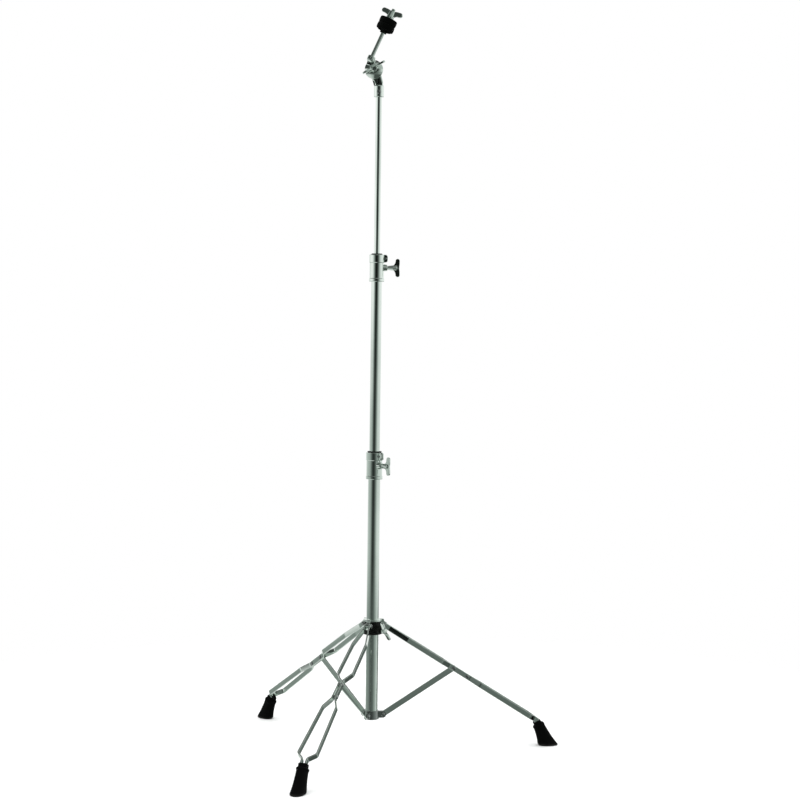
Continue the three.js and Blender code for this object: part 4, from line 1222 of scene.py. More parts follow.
def bell_rows(length_along, width, rim):
    """Rows from the sole to the rim: a straight taper, waisted by half a sine wave."""
    start = BOOT["sole_ease"]
    rows = []
    for share in np.linspace(0, 1, 22)[1:]:
        waist = BOOT["waist"] * math.sin(math.pi * share)
        rows.append((
            start + (rim - BOOT["bell_drop"] - start) * share,
            length_along + (BOOT["bell_length"] - length_along) * share - waist,
            width + (BOOT["bell_width"] - width) * share - BOOT["waist_across"] * waist,
            BOOT["sole_power"] + (BOOT["rim_power"] - BOOT["sole_power"]) * share,
            share**2,
        ))
    return rows


def bead_rows(rim):
    """Rows of the bead at the rim: half a circle seen from the side, a little tapered."""
    along, across = BOOT["bead_taper"]
    rows = []
    for turn in np.linspace(0, math.pi, 9):
        bulge = 2 * BOOT["bead"] * math.sin(turn)
        rows.append((
            rim - BOOT["bead_drop"] + BOOT["bead_height"] * (1 - math.cos(turn)) / 2,
            BOOT["bead_length"] + bulge - along * turn / math.pi,
            BOOT["bead_width"] + bulge - across * turn / math.pi,
            BOOT["rim_power"],
            1.0,
        ))
    return rows


def neck_rows(strip_height, rim):
    """Rows of the neck round the two strips, and of the recess that they stand in."""
    along, across = strip_height + BOOT["neck_margin"], BOOT["neck_width"]
    return [
        (rim + up * MM, along - 2 * inset * MM, across - 2 * inset * MM, power, 1.0)
        for up, inset, power in NECK_ROWS
    ]


def boot_shell(tripod, columns=64):
    """A boot as a stack of superellipses along its leaning middle line.

    Each row is (height, length, width, power, lean share). A ring is leaned by its share of the
    tip's angle from upright, and its middle lies on the line that falls from the ankle at the
    tip's pitch.
    """
    length_along, width, rim = tripod.boot_length, tripod.boot_width, tripod.boot_height
    lean_full = math.pi / 2 - tripod.tip_pitch
    rows = sole_rows(length_along, width) + bell_rows(length_along, width, rim)
    rows += bead_rows(rim) + neck_rows(tripod.strip_height, rim)
    ankle_height = COLLAR_HEIGHT - tripod.ankle * math.sin(LEG_PITCH)
    grid = []
    for height, along, across, power, share in rows:
        drop = ankle_height - height
        middle = np.array([drop / math.tan(tripod.tip_pitch), 0, -drop])
        ring = super_ring(along, across, power, columns)
        grid.append(ring @ turned_about_y(-lean_full * share).T + middle)
    return {"grid": np.array(grid), "wrap_rows": False, "wrap_columns": True, "caps": True}


class STAND_OT_boots(Operator):
    """Mould the three rubber boots from a stack of leaning superellipses"""

    bl_idname = "stand.boots"
    bl_label = "Boots"

    def execute(self, context):
        tripod = context.scene.stand_tripod
        shell = boot_shell(tripod)
        for leg in LEGS:
            _, origin = leg_place(leg, tripod.ankle)
            boot = moved(shell, leg_turn(leg), origin)
            make_piece(f"boot_{leg}_moulded", [boot], f"boot_{leg}", f"leg_{leg}", "rubber",
                       crease=MOULDED_CREASE, weighted=False)
        return {"FINISHED"}


# Collar

HUB = {
    "wall": 4.6 * MM,
    "bottom": -19 * MM,
    "top": 8 * MM,
    "skirt": 1 * MM,
    "skirt_height": 5 * MM,
    "ease": 0.6 * MM,
    "boss_radius": 7.5 * MM,
    "boss_ease": 0.9 * MM,
}
SPIDER = {
    "root": 2.3 * MM,
    "nose": 7 * MM,
    "nose_ease": 6.8 * MM,
    "bottom": -8 * MM,
    "top": 13 * MM,
    "tongue_top": 7 * MM,
    "edge": 0.8 * MM,
    "ring_wall": 6.5 * MM,
    "ring": (8.3 * MM, 12.3 * MM),
    "ring_ease": 0.9 * MM,
}


def hub_profile(bore):
    """The hub's section: a plain sleeve with a low skirt."""
    outer, bottom = bore + HUB["wall"], HUB["bottom"]
    skirt, skirt_top = outer + HUB["skirt"], bottom + HUB["skirt_height"]
    return eased_corners([
        (bore, bottom, 0.5 * MM),
        (skirt, bottom, 0.9 * MM),
        (skirt, skirt_top, HUB["ease"]),
        (outer, skirt_top + 1 * MM, HUB["ease"]),
        (outer, HUB["top"], HUB["ease"]),
        (bore, HUB["top"], 0.4 * MM),
    ], True)


def tongue_outline(bore):
    """A spider's arm from the side: a round nose about the pin and a step up to the ring."""
    inner, nose = bore + SPIDER["root"], PIVOT_REACH + SPIDER["nose"]
    return eased_corners([
        (inner, SPIDER["bottom"], 0),
        (nose, SPIDER["bottom"], SPIDER["nose_ease"]),
        (nose, SPIDER["tongue_top"], SPIDER["nose_ease"]),
        (PIVOT_REACH + 0.6 * MM, SPIDER["tongue_top"] + 0.4 * MM, 1.5 * MM),
        (PIVOT_REACH, SPIDER["top"], 2.4 * MM),
        (inner, SPIDER["top"], 0),
    ], True, 7, 0.04)


class STAND_OT_collar(Operator):
    """Mould the collar's hub and cast its spider: turned rings, a boss and three tongues"""

    bl_idname = "stand.collar"
    bl_label = "Leg collar"

    def execute(self, context):
        tubes, clamps = context.scene.stand_tubes, context.scene.stand_clamps
        bore = tubes.base_radius + tubes.gap
        place = MAST + [0, 0, COLLAR_HEIGHT]
        boss = ring_profile(clamps.bolt_radius + PIVOT_GAP, HUB["boss_radius"], bore + SPIDER["root"],
                            COLLAR_BOSS_REACH, HUB["boss_ease"])
        boss_shell = moved(ringed(boss, 48), AXIS_ALONG_X, (0, 0, -COLLAR_BOLT_DROP))
        shells = [
            moved(ringed(hub_profile(bore), tubes.columns), None, place),
            moved(boss_shell, turned_about_z(collar_bolt_heading()), place),
        ]
        make_piece("collar_hub_moulded", shells, "collar_hub", "collar", "nylon")

        ring = ring_profile(bore, bore + SPIDER["ring_wall"], *SPIDER["ring"], SPIDER["ring_ease"])
        arm = moved(plate(tongue_outline(bore), COLLAR_TONGUE, SPIDER["edge"]), PLATE_UPRIGHT)
        shells = [moved(ringed(ring, tubes.columns), None, place)]
        shells += [moved(arm, leg_turn(leg), place) for leg in LEGS]
        make_piece("collar_spider_cast", shells, "collar_spider", "collar", "chrome")
        return {"FINISHED"}


# Sleeve clamps and wing bolts

SLEEVE = {
    "foot_band": 6 * MM,
    "head_band": 16 * MM,
    "split": -6.1 * MM,
    "band_ease": 1.1 * MM,
    "boss_root_radius": 7.6 * MM,
    "boss_tip_radius": 6.4 * MM,
    "ear_thickness": 4 * MM,
    "ear_beyond_screw": 4 * MM,
    "ear_ease": 5 * MM,
    "ear_edge": 0.9 * MM,
    "screw_head": 2.6 * MM,
}
COLLAR_WING_TURN = math.radians(30)
TILTER_WING_TURN = math.radians(-60)
TILTER_BOLT_RADIUS = 3.6 * MM


def tab_outline(near, far, bottom, top, corner):
    """A square tab with its two far corners rounded."""
    corners = [(near, bottom, 0), (far, bottom, corner), (far, top, corner), (near, top, 0)]
    return eased_corners(corners, True, 8, 0.1)


def sleeve_shells(clamps, radius, passage, gap, columns):
    """A sleeve clamp with the lower tube's end at height 0 and its slit toward +X."""
    bore, outer = radius + gap, radius + gap + clamps.wall
    band = outer + clamps.band
    bottom, top, split = -clamps.below, clamps.above, SLEEVE["split"]
    foot_band, head_band = bottom + SLEEVE["foot_band"], top - SLEEVE["head_band"]
    lower = eased_corners([
        (bore, bottom, SMALL_EASE),
        (band, bottom, SLEEVE["band_ease"]),
        (band, foot_band, 0.5 * MM),
        (outer, foot_band + clamps.band, 0.9 * MM),
        (outer, split, 0),
        (bore, split, 0),
    ], True)
    upper = eased_corners([
        (bore, split, 0),
        (outer, split, 0),
        (outer, head_band - clamps.band, 0.9 * MM),
        (band, head_band, 0.5 * MM),
        (band, top, SLEEVE["band_ease"]),
        (passage, top, SMALL_EASE),
        (passage, gap, SMALL_EASE),
        (bore, gap, SMALL_EASE),
    ], True)
    opening = 2 * math.asin(clamps.slit / 2 / outer)
    root = bore + clamps.wall / 2
    hole = clamps.bolt_radius + gap
    face = outer + CLAMP_BOSS_REACH
    boss = eased_corners([
        (hole, root, 0),
        (SLEEVE["boss_root_radius"], root, 0),
        (SLEEVE["boss_tip_radius"], face, 1.2 * MM),
        (hole, face, 0.5 * MM),
    ], True)
    screw = outer + clamps.band + SLEEVE["screw_head"] + gap
    tab = tab_outline(root, screw + SLEEVE["ear_beyond_screw"], head_band, top, SLEEVE["ear_ease"])
    ear = plate(tab, SLEEVE["ear_thickness"], SLEEVE["ear_edge"])
    aside = clamps.slit / 2 + SLEEVE["ear_thickness"] / 2
    return [
        ringed(lower, columns),
        ringed(upper, columns, opening / 2, TURN - opening),
        moved(ringed(boss, 56), AXIS_ALONG_X, (0, 0, -clamps.bolt_drop)),
        *(moved(ear, PLATE_UPRIGHT, (0, side * aside, 0)) for side in (-1, 1)),
    ]


class STAND_OT_clamp_sleeves(Operator):
    """Cast both slit sleeve clamps: a full ring, a C-shaped ring above it, two ears and a boss"""

    bl_idname = "stand.clamp_sleeves"
    bl_label = "Clamp sleeves"

    def execute(self, context):
        tubes, clamps = context.scene.stand_tubes, context.scene.stand_clamps
        passage = tubes.middle_radius + 2 * tubes.gap + LINING_WALL
        rows = (
            ("middle", "base", tubes.base_radius, passage, "base_tube"),
            ("upper", "middle_tube", tubes.middle_radius, tubes.middle_radius - tubes.wall, "middle_tube"),
        )
        for prefix, body, radius, passage, tube in rows:
            shells = sleeve_shells(clamps, radius, passage, tubes.gap, tubes.columns)
            turn = turned_about_z(clamp_heading(prefix))
            cast = all_moved(shells, turn, MAST + [0, 0, node_top(tube)])
            node = f"{prefix}_clamp_sleeve"
            make_piece(f"{node}_cast", cast, node, body, "chrome")
        return {"FINISHED"}


class STAND_OT_wing_bolts(Operator):
    """Cast the four wing bolts: a flared hub on a shank, and two lobes on curved webs"""

    bl_idname = "stand.wing_bolts"
    bl_label = "Wing bolts"

    def execute(self, context):
        scene = context.scene
        tubes, clamps, tilter = scene.stand_tubes, scene.stand_clamps, scene.stand_tilter

        def cast_bolt(node, body, shells, turn, place):
            make_piece(f"{node}_cast", all_moved(shells, turn, place), node, body, "chrome")

        reach = COLLAR_BOSS_REACH - tubes.base_radius - TUBE_CLEARANCE
        bolt = wing_bolt(COLLAR_WING, clamps.bolt_radius, reach, clamps)
        turn = turned_about_z(collar_bolt_heading())
        place = MAST + [0, 0, COLLAR_HEIGHT - COLLAR_BOLT_DROP]
        place = place + turn @ np.array([COLLAR_BOSS_REACH + PIVOT_GAP, 0, 0])
        turn = turn @ turned_about_x(COLLAR_WING_TURN)
        cast_bolt("collar_wing_bolt", "collar_bolt", bolt, turn, place)
        rows = (("middle", tubes.base_radius, "base_tube"), ("upper", tubes.middle_radius, "middle_tube"))
        for prefix, radius, tube in rows:
            face = radius + tubes.gap + clamps.wall + CLAMP_BOSS_REACH
            bolt = wing_bolt(CLAMP_WING, clamps.bolt_radius, face - radius - TUBE_CLEARANCE, clamps)
            turn = turned_about_z(clamp_heading(prefix))
            place = MAST + [0, 0, node_top(tube) - clamps.bolt_drop]
            place = place + turn @ np.array([face + PIVOT_GAP, 0, 0])
            cast_bolt(f"{prefix}_clamp_wing_bolt", f"{prefix}_clamp_bolt", bolt, turn, place)
        face = tubes.gap / 2 + tilter.tooth_height + tilter.disc_thickness
        front = face + tubes.gap
        bolt = wing_bolt(TILTER_WING, TILTER_BOLT_RADIUS, front + face + NUT_HEIGHT, clamps)
        turn = turned_about_z(-math.pi / 2) @ turned_about_x(TILTER_WING_TURN)
        cast_bolt("tilter_wing_bolt", "tilter_bolt", bolt, turn, TILTER - [0, front, 0])
        return {"FINISHED"}


# Tilter, rod and felts

ROD_TURN = turned_about_y(ROD_TILT)
TO_MAST = MAST[0] - TILTER[0]
BOSS_TOP = 22 * MM
ROD_SOCKET = 11 * MM
FELT_MIDDLE = ROD_TURN.T @ (node_middle("lower_felt") - TILTER)
FELT_RISE = FELT_MIDDLE[2] - BOSS_TOP
BOLT_HOLE = 3.9 * MM
TOOTH_STEEPNESS = 1.7
TOOTH_CUT = 0.25
DISC_FACE = {"boss": 6 * MM, "rim_drop": 4.5 * MM, "rim_inset": 0.4 * MM}
SOCKET = {"top": -32.5 * MM, "bottom": -57 * MM, "lid": 1.2 * MM}
NECK = {
    "half_width": 8.5 * MM,
    "foot": -50 * MM,
    "knee": -26 * MM,
    "head": -8 * MM,
    "head_half_width": 15 * MM,
    "thickness": 5.8 * MM,
    "edge": 2.7 * MM,
    "behind_teeth": 3.5 * MM,
}
ROD_BOSS = {"radius": 8 * MM, "bottom": 8.5 * MM, "hole": 4.3 * MM, "hole_floor": 12 * MM}
SADDLE = {"thickness": 6 * MM, "edge": 2.6 * MM, "behind_teeth": 3.6 * MM}
NUT_WIDTH = 12 * MM
NUT_CHAMFER = 1.1
NUT_LEVELS = (0.15 * MM, 0.35 * MM, 0.6 * MM, 0.9 * MM)


def disc_rows(tilter, root, back):
    """Section of a toothed disc: (radius, distance from the middle, share of the tooth height).

    The outer face is a flat boss inside a parabola that falls toward the rim.
    """
    rim, boss = tilter.disc_radius, DISC_FACE["boss"]
    side = back - DISC_FACE["rim_drop"]
    rows = [
        (BOLT_HOLE, root, 0),
        (7.9 * MM, root, 0),
        (8.3 * MM, root, 0),
        (8.9 * MM, root, 0.9),
        (9.3 * MM, root, 1),
        (17.6 * MM, root, 1),
        (18.2 * MM, root, 0.92),
        (18.5 * MM, root, 0.6),
        (18.6 * MM, root, 0),
        (rim - 0.1 * MM, root + 0.15 * MM, 0),
        (rim, root + 0.5 * MM, 0),
        (rim, root + 1.2 * MM, 0),
        (rim, side - 1.1 * MM, 0),
        (rim, side - 0.7 * MM, 0),
        (rim - 0.1 * MM, side - 0.4 * MM, 0),
    ]
    edge = rim - DISC_FACE["rim_inset"]
    for radius in np.linspace(edge, boss, 14):
        rows.append((radius, back - DISC_FACE["rim_drop"] * ((radius - boss) / (edge - boss)) ** 2, 0))
    rows.append((BOLT_HOLE, back, 0))
    return np.array(rows)


def toothed_disc(tilter, gap, phase, columns=8):
    """A disc with radial teeth, its axis along Y and its teeth toward -Y.

    The toothed rows stand proud by the tooth height times a clipped triangle wave of the angle:
    clip(1.7 (1 - |2 frac(n a / 2 pi) - 1|) - 0.25, 0, 1).
    """
    count = tilter.teeth * columns
    turn = TURN * np.arange(count) / count
    triangle = 1 - np.abs(2 * ((turn * tilter.teeth / TURN + phase) % 1) - 1)
    wave = np.clip(TOOTH_STEEPNESS * triangle - TOOTH_CUT, 0, 1)
    root = gap / 2 + tilter.tooth_height
    table = disc_rows(tilter, root, root + tilter.disc_thickness)
    radius, level, toothed = table[:, 0][:, None], table[:, 1][:, None], table[:, 2][:, None]
    y = level - toothed * tilter.tooth_height * wave
    grid = np.stack([radius * np.cos(turn), y, radius * np.sin(turn)], axis=2)
    return {"grid": grid.transpose(1, 0, 2), "wrap_rows": True, "wrap_columns": True, "caps": False}


def hex_nut(width, bore, height, columns=72):
    """A hexagon nut along Z: r = apothem / cos(a folded to one side), cut by a cone at both ends."""
    turn = TURN * np.arange(columns) / columns
    fold = (turn + math.pi / 6) % (math.pi / 3) - math.pi / 6
    apothem = width / 2 * math.cos(math.pi / 6)
    flat = apothem / np.cos(fold)
    rows = [(0.0, bore, False), (0.0, apothem - 0.5 * MM, False), (0.0, apothem - 0.1 * MM, False)]
    rows += [(level, apothem + NUT_CHAMFER * level, True) for level in NUT_LEVELS]
    rows += [(height - level, radius, clip) for level, radius, clip in rows[::-1]]
    grid = []
    for level, radius, clip in rows:
        r = np.minimum(flat, radius) if clip else np.full(columns, radius)
        grid.append(np.column_stack([r * np.cos(turn), r * np.sin(turn), np.full(columns, level)]))
    return {"grid": np.array(grid), "wrap_rows": True, "wrap_columns": True, "caps": False}


def socket_shells(tubes, tilter):
    """The tilter's socket round the top tube, and the lid that closes it from above."""
    bore, radius = tubes.top_radius + tubes.gap, tilter.socket_radius
    top, bottom, lid = SOCKET["top"], SOCKET["bottom"], SOCKET["lid"]
    socket = eased_corners([
        (bore, bottom, 0.5 * MM),
        (radius, bottom, 1.2 * MM),
        (radius, top, 2.2 * MM),
        (bore, top, 0),
    ], True, 7)
    cover = tubes.top_radius + lid
    closed = eased_corners([(0, top - lid, 0), (cover, top - lid, 0), (cover, top, 0), (0, top, 0)], False)
    return all_moved([ringed(socket, 72), revolved(closed, 48)], None, (TO_MAST, 0, 0))


def neck_outline():
    """The web between socket and disc: as wide as the socket below, widening to the disc."""
    left, right = TO_MAST - NECK["half_width"], TO_MAST + NECK["half_width"]
    return eased_corners([
        (left, NECK["foot"], 2 * MM),
        (right, NECK["foot"], 2 * MM),
        (right, NECK["knee"], 12 * MM),
        (NECK["head_half_width"], NECK["head"], 4 * MM),
        (-NECK["head_half_width"], NECK["head"], 4 * MM),
        (left, NECK["knee"], 12 * MM),
    ], True, 7, 0.05)


def rod_boss_profile():
    """The round boss that holds the rod, with a blind hole."""
    radius, hole = ROD_BOSS["radius"], ROD_BOSS["hole"]
    return eased_corners([
        (0, ROD_BOSS["bottom"], 0),
        (radius, ROD_BOSS["bottom"], 5.5 * MM),
        (radius, BOSS_TOP, 1.6 * MM),
        (hole, BOSS_TOP, 0.5 * MM),
        (hole, ROD_BOSS["hole_floor"], 0),
        (0, ROD_BOSS["hole_floor"], 0),
    ], False, 6)


def saddle_outline():
    """The web between the upper disc and the rod's boss."""
    return eased_corners([
        (-18.4 * MM, 2 * MM, 1 * MM),
        (-2 * MM, 2 * MM, 4 * MM),
        (-4 * MM, 17.6 * MM, 4 * MM),
        (-8 * MM, 20.6 * MM, 3 * MM),
        (-20.6 * MM, 20.6 * MM, 2 * MM),
    ], True, 5, 0.05)


class STAND_OT_tilter(Operator):
    """Cast the tilter's two toothed halves and its nut, and set them at the pivot"""

    bl_idname = "stand.tilter"
    bl_label = "Tilter"

    def execute(self, context):
        tubes, tilter = context.scene.stand_tubes, context.scene.stand_tilter
        gap = tubes.gap
        back = gap / 2 + tilter.tooth_height
        web = plate(neck_outline(), NECK["thickness"], NECK["edge"])
        shells = [
            toothed_disc(tilter, gap, 0.0),
            *socket_shells(tubes, tilter),
            moved(web, PLATE_UPRIGHT, (0, back + NECK["behind_teeth"], 0)),
        ]
        cast = all_moved(shells, None, TILTER)
        make_piece("tilter_base_cast", cast, "tilter_base", "top_tube", "chrome")

        web = plate(saddle_outline(), SADDLE["thickness"], SADDLE["edge"])
        shells = [
            moved(toothed_disc(tilter, gap, 0.5), turned_about_z(math.pi)),
            moved(revolved(rod_boss_profile(), 64), None, (FELT_MIDDLE[0], FELT_MIDDLE[1], 0)),
            moved(web, PLATE_UPRIGHT, (0, -(back + SADDLE["behind_teeth"]), 0)),
        ]
        cast = all_moved(shells, ROD_TURN, TILTER)
        make_piece("tilter_head_cast", cast, "tilter_head", "tilter_head", "chrome")

        inner = back + tilter.disc_thickness - NUT_HEIGHT / 2 + gap
        nut = moved(hex_nut(NUT_WIDTH, BOLT_HOLE, NUT_HEIGHT), AXIS_ALONG_Y, TILTER + [0, inner, 0])
        make_piece("tilter_nut_plated", [nut], "tilter_nut", "top_tube", "rivet_steel")
        return {"FINISHED"}


THREAD = {"length": 24 * MM, "depth": 0.6 * MM, "start": 0.2 * MM, "end": 0.9 * MM, "tip": 0.7 * MM}
DEPTH_AT_TIP = 0.2
SEAT = {
    "sleeve": 7 * MM,
    "bottom": -6 * MM,
    "plate": 14 * MM,
    "plate_ease": 0.35 * MM,
}
ROD_SLEEVE_RADIUS = 5.8 * MM
LEVELS_PER_PITCH = 8


def threaded(radius, pitch, low, high, depth, columns=40):
    """A thread on a rod: r = R - d tri(z / pitch - a / 2 pi), its depth faded at both ends."""
    levels = np.linspace(low, high, int((high - low) / pitch * LEVELS_PER_PITCH) + 1)
    turn = TURN * np.arange(columns) / columns
    wave = np.abs(2 * ((levels[:, None] / pitch - turn / TURN) % 1) - 1)
    fade_in = np.clip((levels - low) / pitch, 0, 1)
    fade_out = np.clip((high - levels) / pitch + DEPTH_AT_TIP, 0, 1)
    fade = fade_in * fade_out
    r = radius - depth * fade[:, None] * wave
    return np.stack([r * np.cos(turn), r * np.sin(turn), levels[:, None] + 0 * turn], axis=2)


def on_rod(shells, height):
    """Shells on the rod's own axis, set so many metres above the boss."""
    foot = TILTER + ROD_TURN @ [FELT_MIDDLE[0], FELT_MIDDLE[1], BOSS_TOP + height]
    return all_moved(shells, ROD_TURN, foot)


def rod_shell(tilter):
    """The rod from its foot up: a plain round bar, then the thread, then a bevelled tip."""
    radius, end = tilter.rod_radius, tilter.rod_length
    start = end - THREAD["length"]
    low, high = start + THREAD["start"], end - THREAD["end"]
    plain = eased_corners([(0, 0, 0), (radius, 0, 1 * MM), (radius, start, 0)], False)
    thread = threaded(radius, tilter.thread_pitch, low, high, THREAD["depth"])
    tip = eased_corners([
        (radius - THREAD["depth"], end - THREAD["tip"], 0),
        (radius - 2 * THREAD["depth"], end, 0),
        (0, end, 0),
    ], False)
    grid = np.vstack([revolved(plain, 40)["grid"], thread, revolved(tip, 40)["grid"]])
    return {"grid": grid, "wrap_rows": False, "wrap_columns": True, "caps": False}


def seat_profile(bore):
    """The seat: a short sleeve on the rod below a round plate, its upper face at height 0."""
    rim, ease = SEAT["plate"], SEAT["plate_ease"]
    return eased_corners([
        (bore, SEAT["bottom"], 0.4 * MM),
        (SEAT["sleeve"], SEAT["bottom"], 0.8 * MM),
        (SEAT["sleeve"] + 0.2 * MM, -2.2 * MM, 1.2 * MM),
        (rim - 0.6 * MM, -1.6 * MM, 0.5 * MM),
        (rim, -0.9 * MM, ease),
        (rim, 0, ease),
        (bore, 0, 0.2 * MM),
    ], True)


class STAND_OT_rod(Operator):
    """Turn the cymbal rod with its thread, its seat and its sleeve"""

    bl_idname = "stand.rod"
    bl_label = "Cymbal rod"

    def execute(self, context):
        gap, tilter = context.scene.stand_tubes.gap, context.scene.stand_tilter
        bore = tilter.rod_radius + gap
        rod = on_rod([rod_shell(tilter)], -ROD_SOCKET)
        make_piece("cymbal_rod_threaded", rod, "cymbal_rod", "tilter_head", "chrome",
                   crease=THREAD_CREASE, weighted=False)
        seat_top = FELT_RISE - tilter.felt_height / 2 - gap
        seat = on_rod([ringed(seat_profile(bore), 72)], seat_top)
        # The seat is drawn in dark plating with a dark edge tint, not in the chrome of its slot
        make_piece("cymbal_seat_turned", seat, "cymbal_seat", "tilter_head", "chrome", "blackened")
        section = ring_profile(bore, ROD_SLEEVE_RADIUS, 0, 2 * tilter.felt_height, 0.5 * MM)
        sleeve = on_rod([ringed(section, 48)], seat_top + gap)
        make_piece("rod_sleeve_moulded", sleeve, "rod_sleeve", "tilter_head", "nylon")
        return {"FINISHED"}


FELT = {
    "bore": 6.4 * MM,
    "bore_ease": 0.9 * MM,
    "rim_ease": 1.9 * MM,
    "swell": 0.45 * MM,
    "slack": 0.35 * MM,
    "still_radius": 8 * MM,
    "lift": 0.085 * MM,
    "waves": 46,
}
FELT_SEEDS = {"lower_felt": 11, "upper_felt": 23}


def felt_profile(tilter):
    """A felt's section: its side swells by half a sine wave between two rounded rims."""
    rim, height = tilter.felt_radius - FELT["slack"], tilter.felt_height
    side = [share for share in np.linspace(0, 1, 15)[1:-1] if 0.2 < share < 0.8]
    return eased_corners([
        (FELT["bore"], 0.0, FELT["bore_ease"]),
        (rim, 0.0, FELT["rim_ease"]),
        *((rim + FELT["swell"] * math.sin(math.pi * share), height * share, 0) for share in side),
        (rim, height, FELT["rim_ease"]),
        (FELT["bore"], height, FELT["bore_ease"]),
    ], True, 6, 0.2)


def felt_shell(tilter, seed, columns=160):
    """A pressed felt: an eased ring, its skin lifted by a sum of seeded waves of angle and height.

    Each wave adds amplitude * cos(k a + m h + phase) away from the felt's middle, and fades out
    toward the bore.
    """
    radius, height = tilter.felt_radius, tilter.felt_height
    profile = felt_profile(tilter)
    shell = ringed(profile, columns)
    grid = shell["grid"]
    turn = (TURN * np.arange(columns) / columns)[:, None]
    level = profile[:, 1][None, :] / height
    still = FELT["still_radius"]
    share = np.clip((profile[:, 0][None, :] - still) / (radius - still), 0, 1)
    random = np.random.default_rng(seed)
    lift = np.zeros((columns, len(profile)))
    for _ in range(FELT["waves"]):
        k, m = random.integers(2, 60), random.normal(0, 9)
        strength = random.normal(0, 1) / (3 + k) ** 0.6
        lift += strength * np.cos(k * turn + m * level + random.uniform(0, TURN))
    lift *= FELT["lift"] * share
    away = grid - [0, 0, height / 2]
    away = away / np.linalg.norm(away, axis=2)[..., None]
    return {**shell, "grid": grid + away * lift[..., None]}


class STAND_OT_felts(Operator):
    """Press the two felts: eased rings with an uneven, fibrous skin"""

    bl_idname = "stand.felts"
    bl_label = "Felts"

    def execute(self, context):
        gap, tilter = context.scene.stand_tubes.gap, context.scene.stand_tilter
        base = FELT_RISE - tilter.felt_height / 2
        rows = (
            ("lower_felt", "tilter_head", base),
            ("upper_felt", "upper_felt", base + tilter.felt_height + gap),
        )
        for node, body, height in rows:
            felt = on_rod([felt_shell(tilter, FELT_SEEDS[node])], height)
            piece = make_piece(f"{node}_pressed", felt, node, body, "felt",
                               crease=FELT_CREASE, weighted=False)
        return {"FINISHED"}


NUT_SHOULDER = 4.3 * MM
NUT_TOP_RADIUS = 6.6 * MM
NUT_TURN = math.radians(-28)


class STAND_OT_wing_nut(Operator):
    """Cast the wing nut: a shouldered hub with two rising lobes"""

    bl_idname = "stand.wing_nut"
    bl_label = "Wing nut"

    def execute(self, context):
        scene = context.scene
        gap, clamps, tilter = scene.stand_tubes.gap, scene.stand_clamps, scene.stand_tilter
        base = FELT_RISE + 1.5 * tilter.felt_height + 2 * gap
        bore, radius, top = tilter.rod_radius + gap, NUT_WING["hub"], NUT_WING["length"]
        hub = eased_corners([
            (bore, 0, 0.4 * MM),
            (radius, 0, 0.8 * MM),
            (radius, NUT_SHOULDER, 1.2 * MM),
            (NUT_TOP_RADIUS, top, 0.9 * MM),
            (bore, top, 0.5 * MM),
        ], True)
        shells = [moved(ringed(hub, 56), AXIS_ALONG_X), *wings(NUT_WING, clamps.wing_thickness, clamps.edge)]
        upright = turned_about_y(-math.pi / 2) @ turned_about_x(NUT_TURN)
        nut = on_rod(all_moved(shells, upright), base)
        make_piece("wing_nut_cast", nut, "wing_nut", "wing_nut", "chrome")
        return {"FINISHED"}


# Studio

# Each flag is a ring of brightness: (azimuth of the reflected ray in degrees, level). Each edge is
# the band of elevations, in degrees, over which one ring gives way to the next.
GREEN_CAST = 0.09
CEILING_TONE = 0.14
WHITE = (1.0, 1.0, 1.0, 1.0)
PAPER_EDGE = (-34.0, -18.0)
FLOOR_EDGE = (-9.6, -7.4)
EYE_EDGE = (-4.0, 3.0)
UPPER_EDGE = (7.6, 14.0)
CEILING_EDGE = (38.0, 58.0)
PAPER_FLAG = (
    (-180, 0.8), (-75, 0.8), (-40, 0.75), (-12, 0.5), (10, 0.08), (90, 0.08), (130, 0.4), (180, 0.8),
)
LOW_FLAG = (
    (-180, 0.9), (-135, 0.42), (-104, 0.28), (-67, 0.24), (-45, 0.14), (-25, 0.09), (-6, 0.1),
    (13, 0.14), (24, 0.16), (34, 0.25), (54, 0.36), (76, 0.5), (98, 0.8), (113, 0.42), (124, 0.2),
    (138, 0.13), (152, 0.24), (180, 0.9),
)
LEVEL_FLAG = (
    (-180, 0.95), (-141, 0.76), (-102, 0.54), (-76, 0.46), (-54, 0.3), (-35, 0.08), (-14, 0.025),
    (5, 0.06), (24, 0.2), (43, 0.46), (64, 0.73), (88, 0.79), (119, 0.83), (150, 1.0), (180, 1.0),
)
EYE_FLAG = (
    (-180, 0.95), (-137, 0.9), (-104, 1.05), (-81, 1.12), (-61, 0.9), (-43, 0.42), (-26, 0.08),
    (-10, 0.004), (6, 0.006), (23, 0.08), (40, 0.36), (57, 0.72), (76, 0.9), (105, 1.0), (150, 1.0),
    (180, 0.95),
)
HIGH_FLAG = (
    (-180, 0.9), (-140, 0.5), (-105, 0.14), (-70, 0.05), (-35, 0.06), (-5, 0.3), (25, 0.45),
    (70, 0.55), (130, 0.8), (180, 0.9),
)


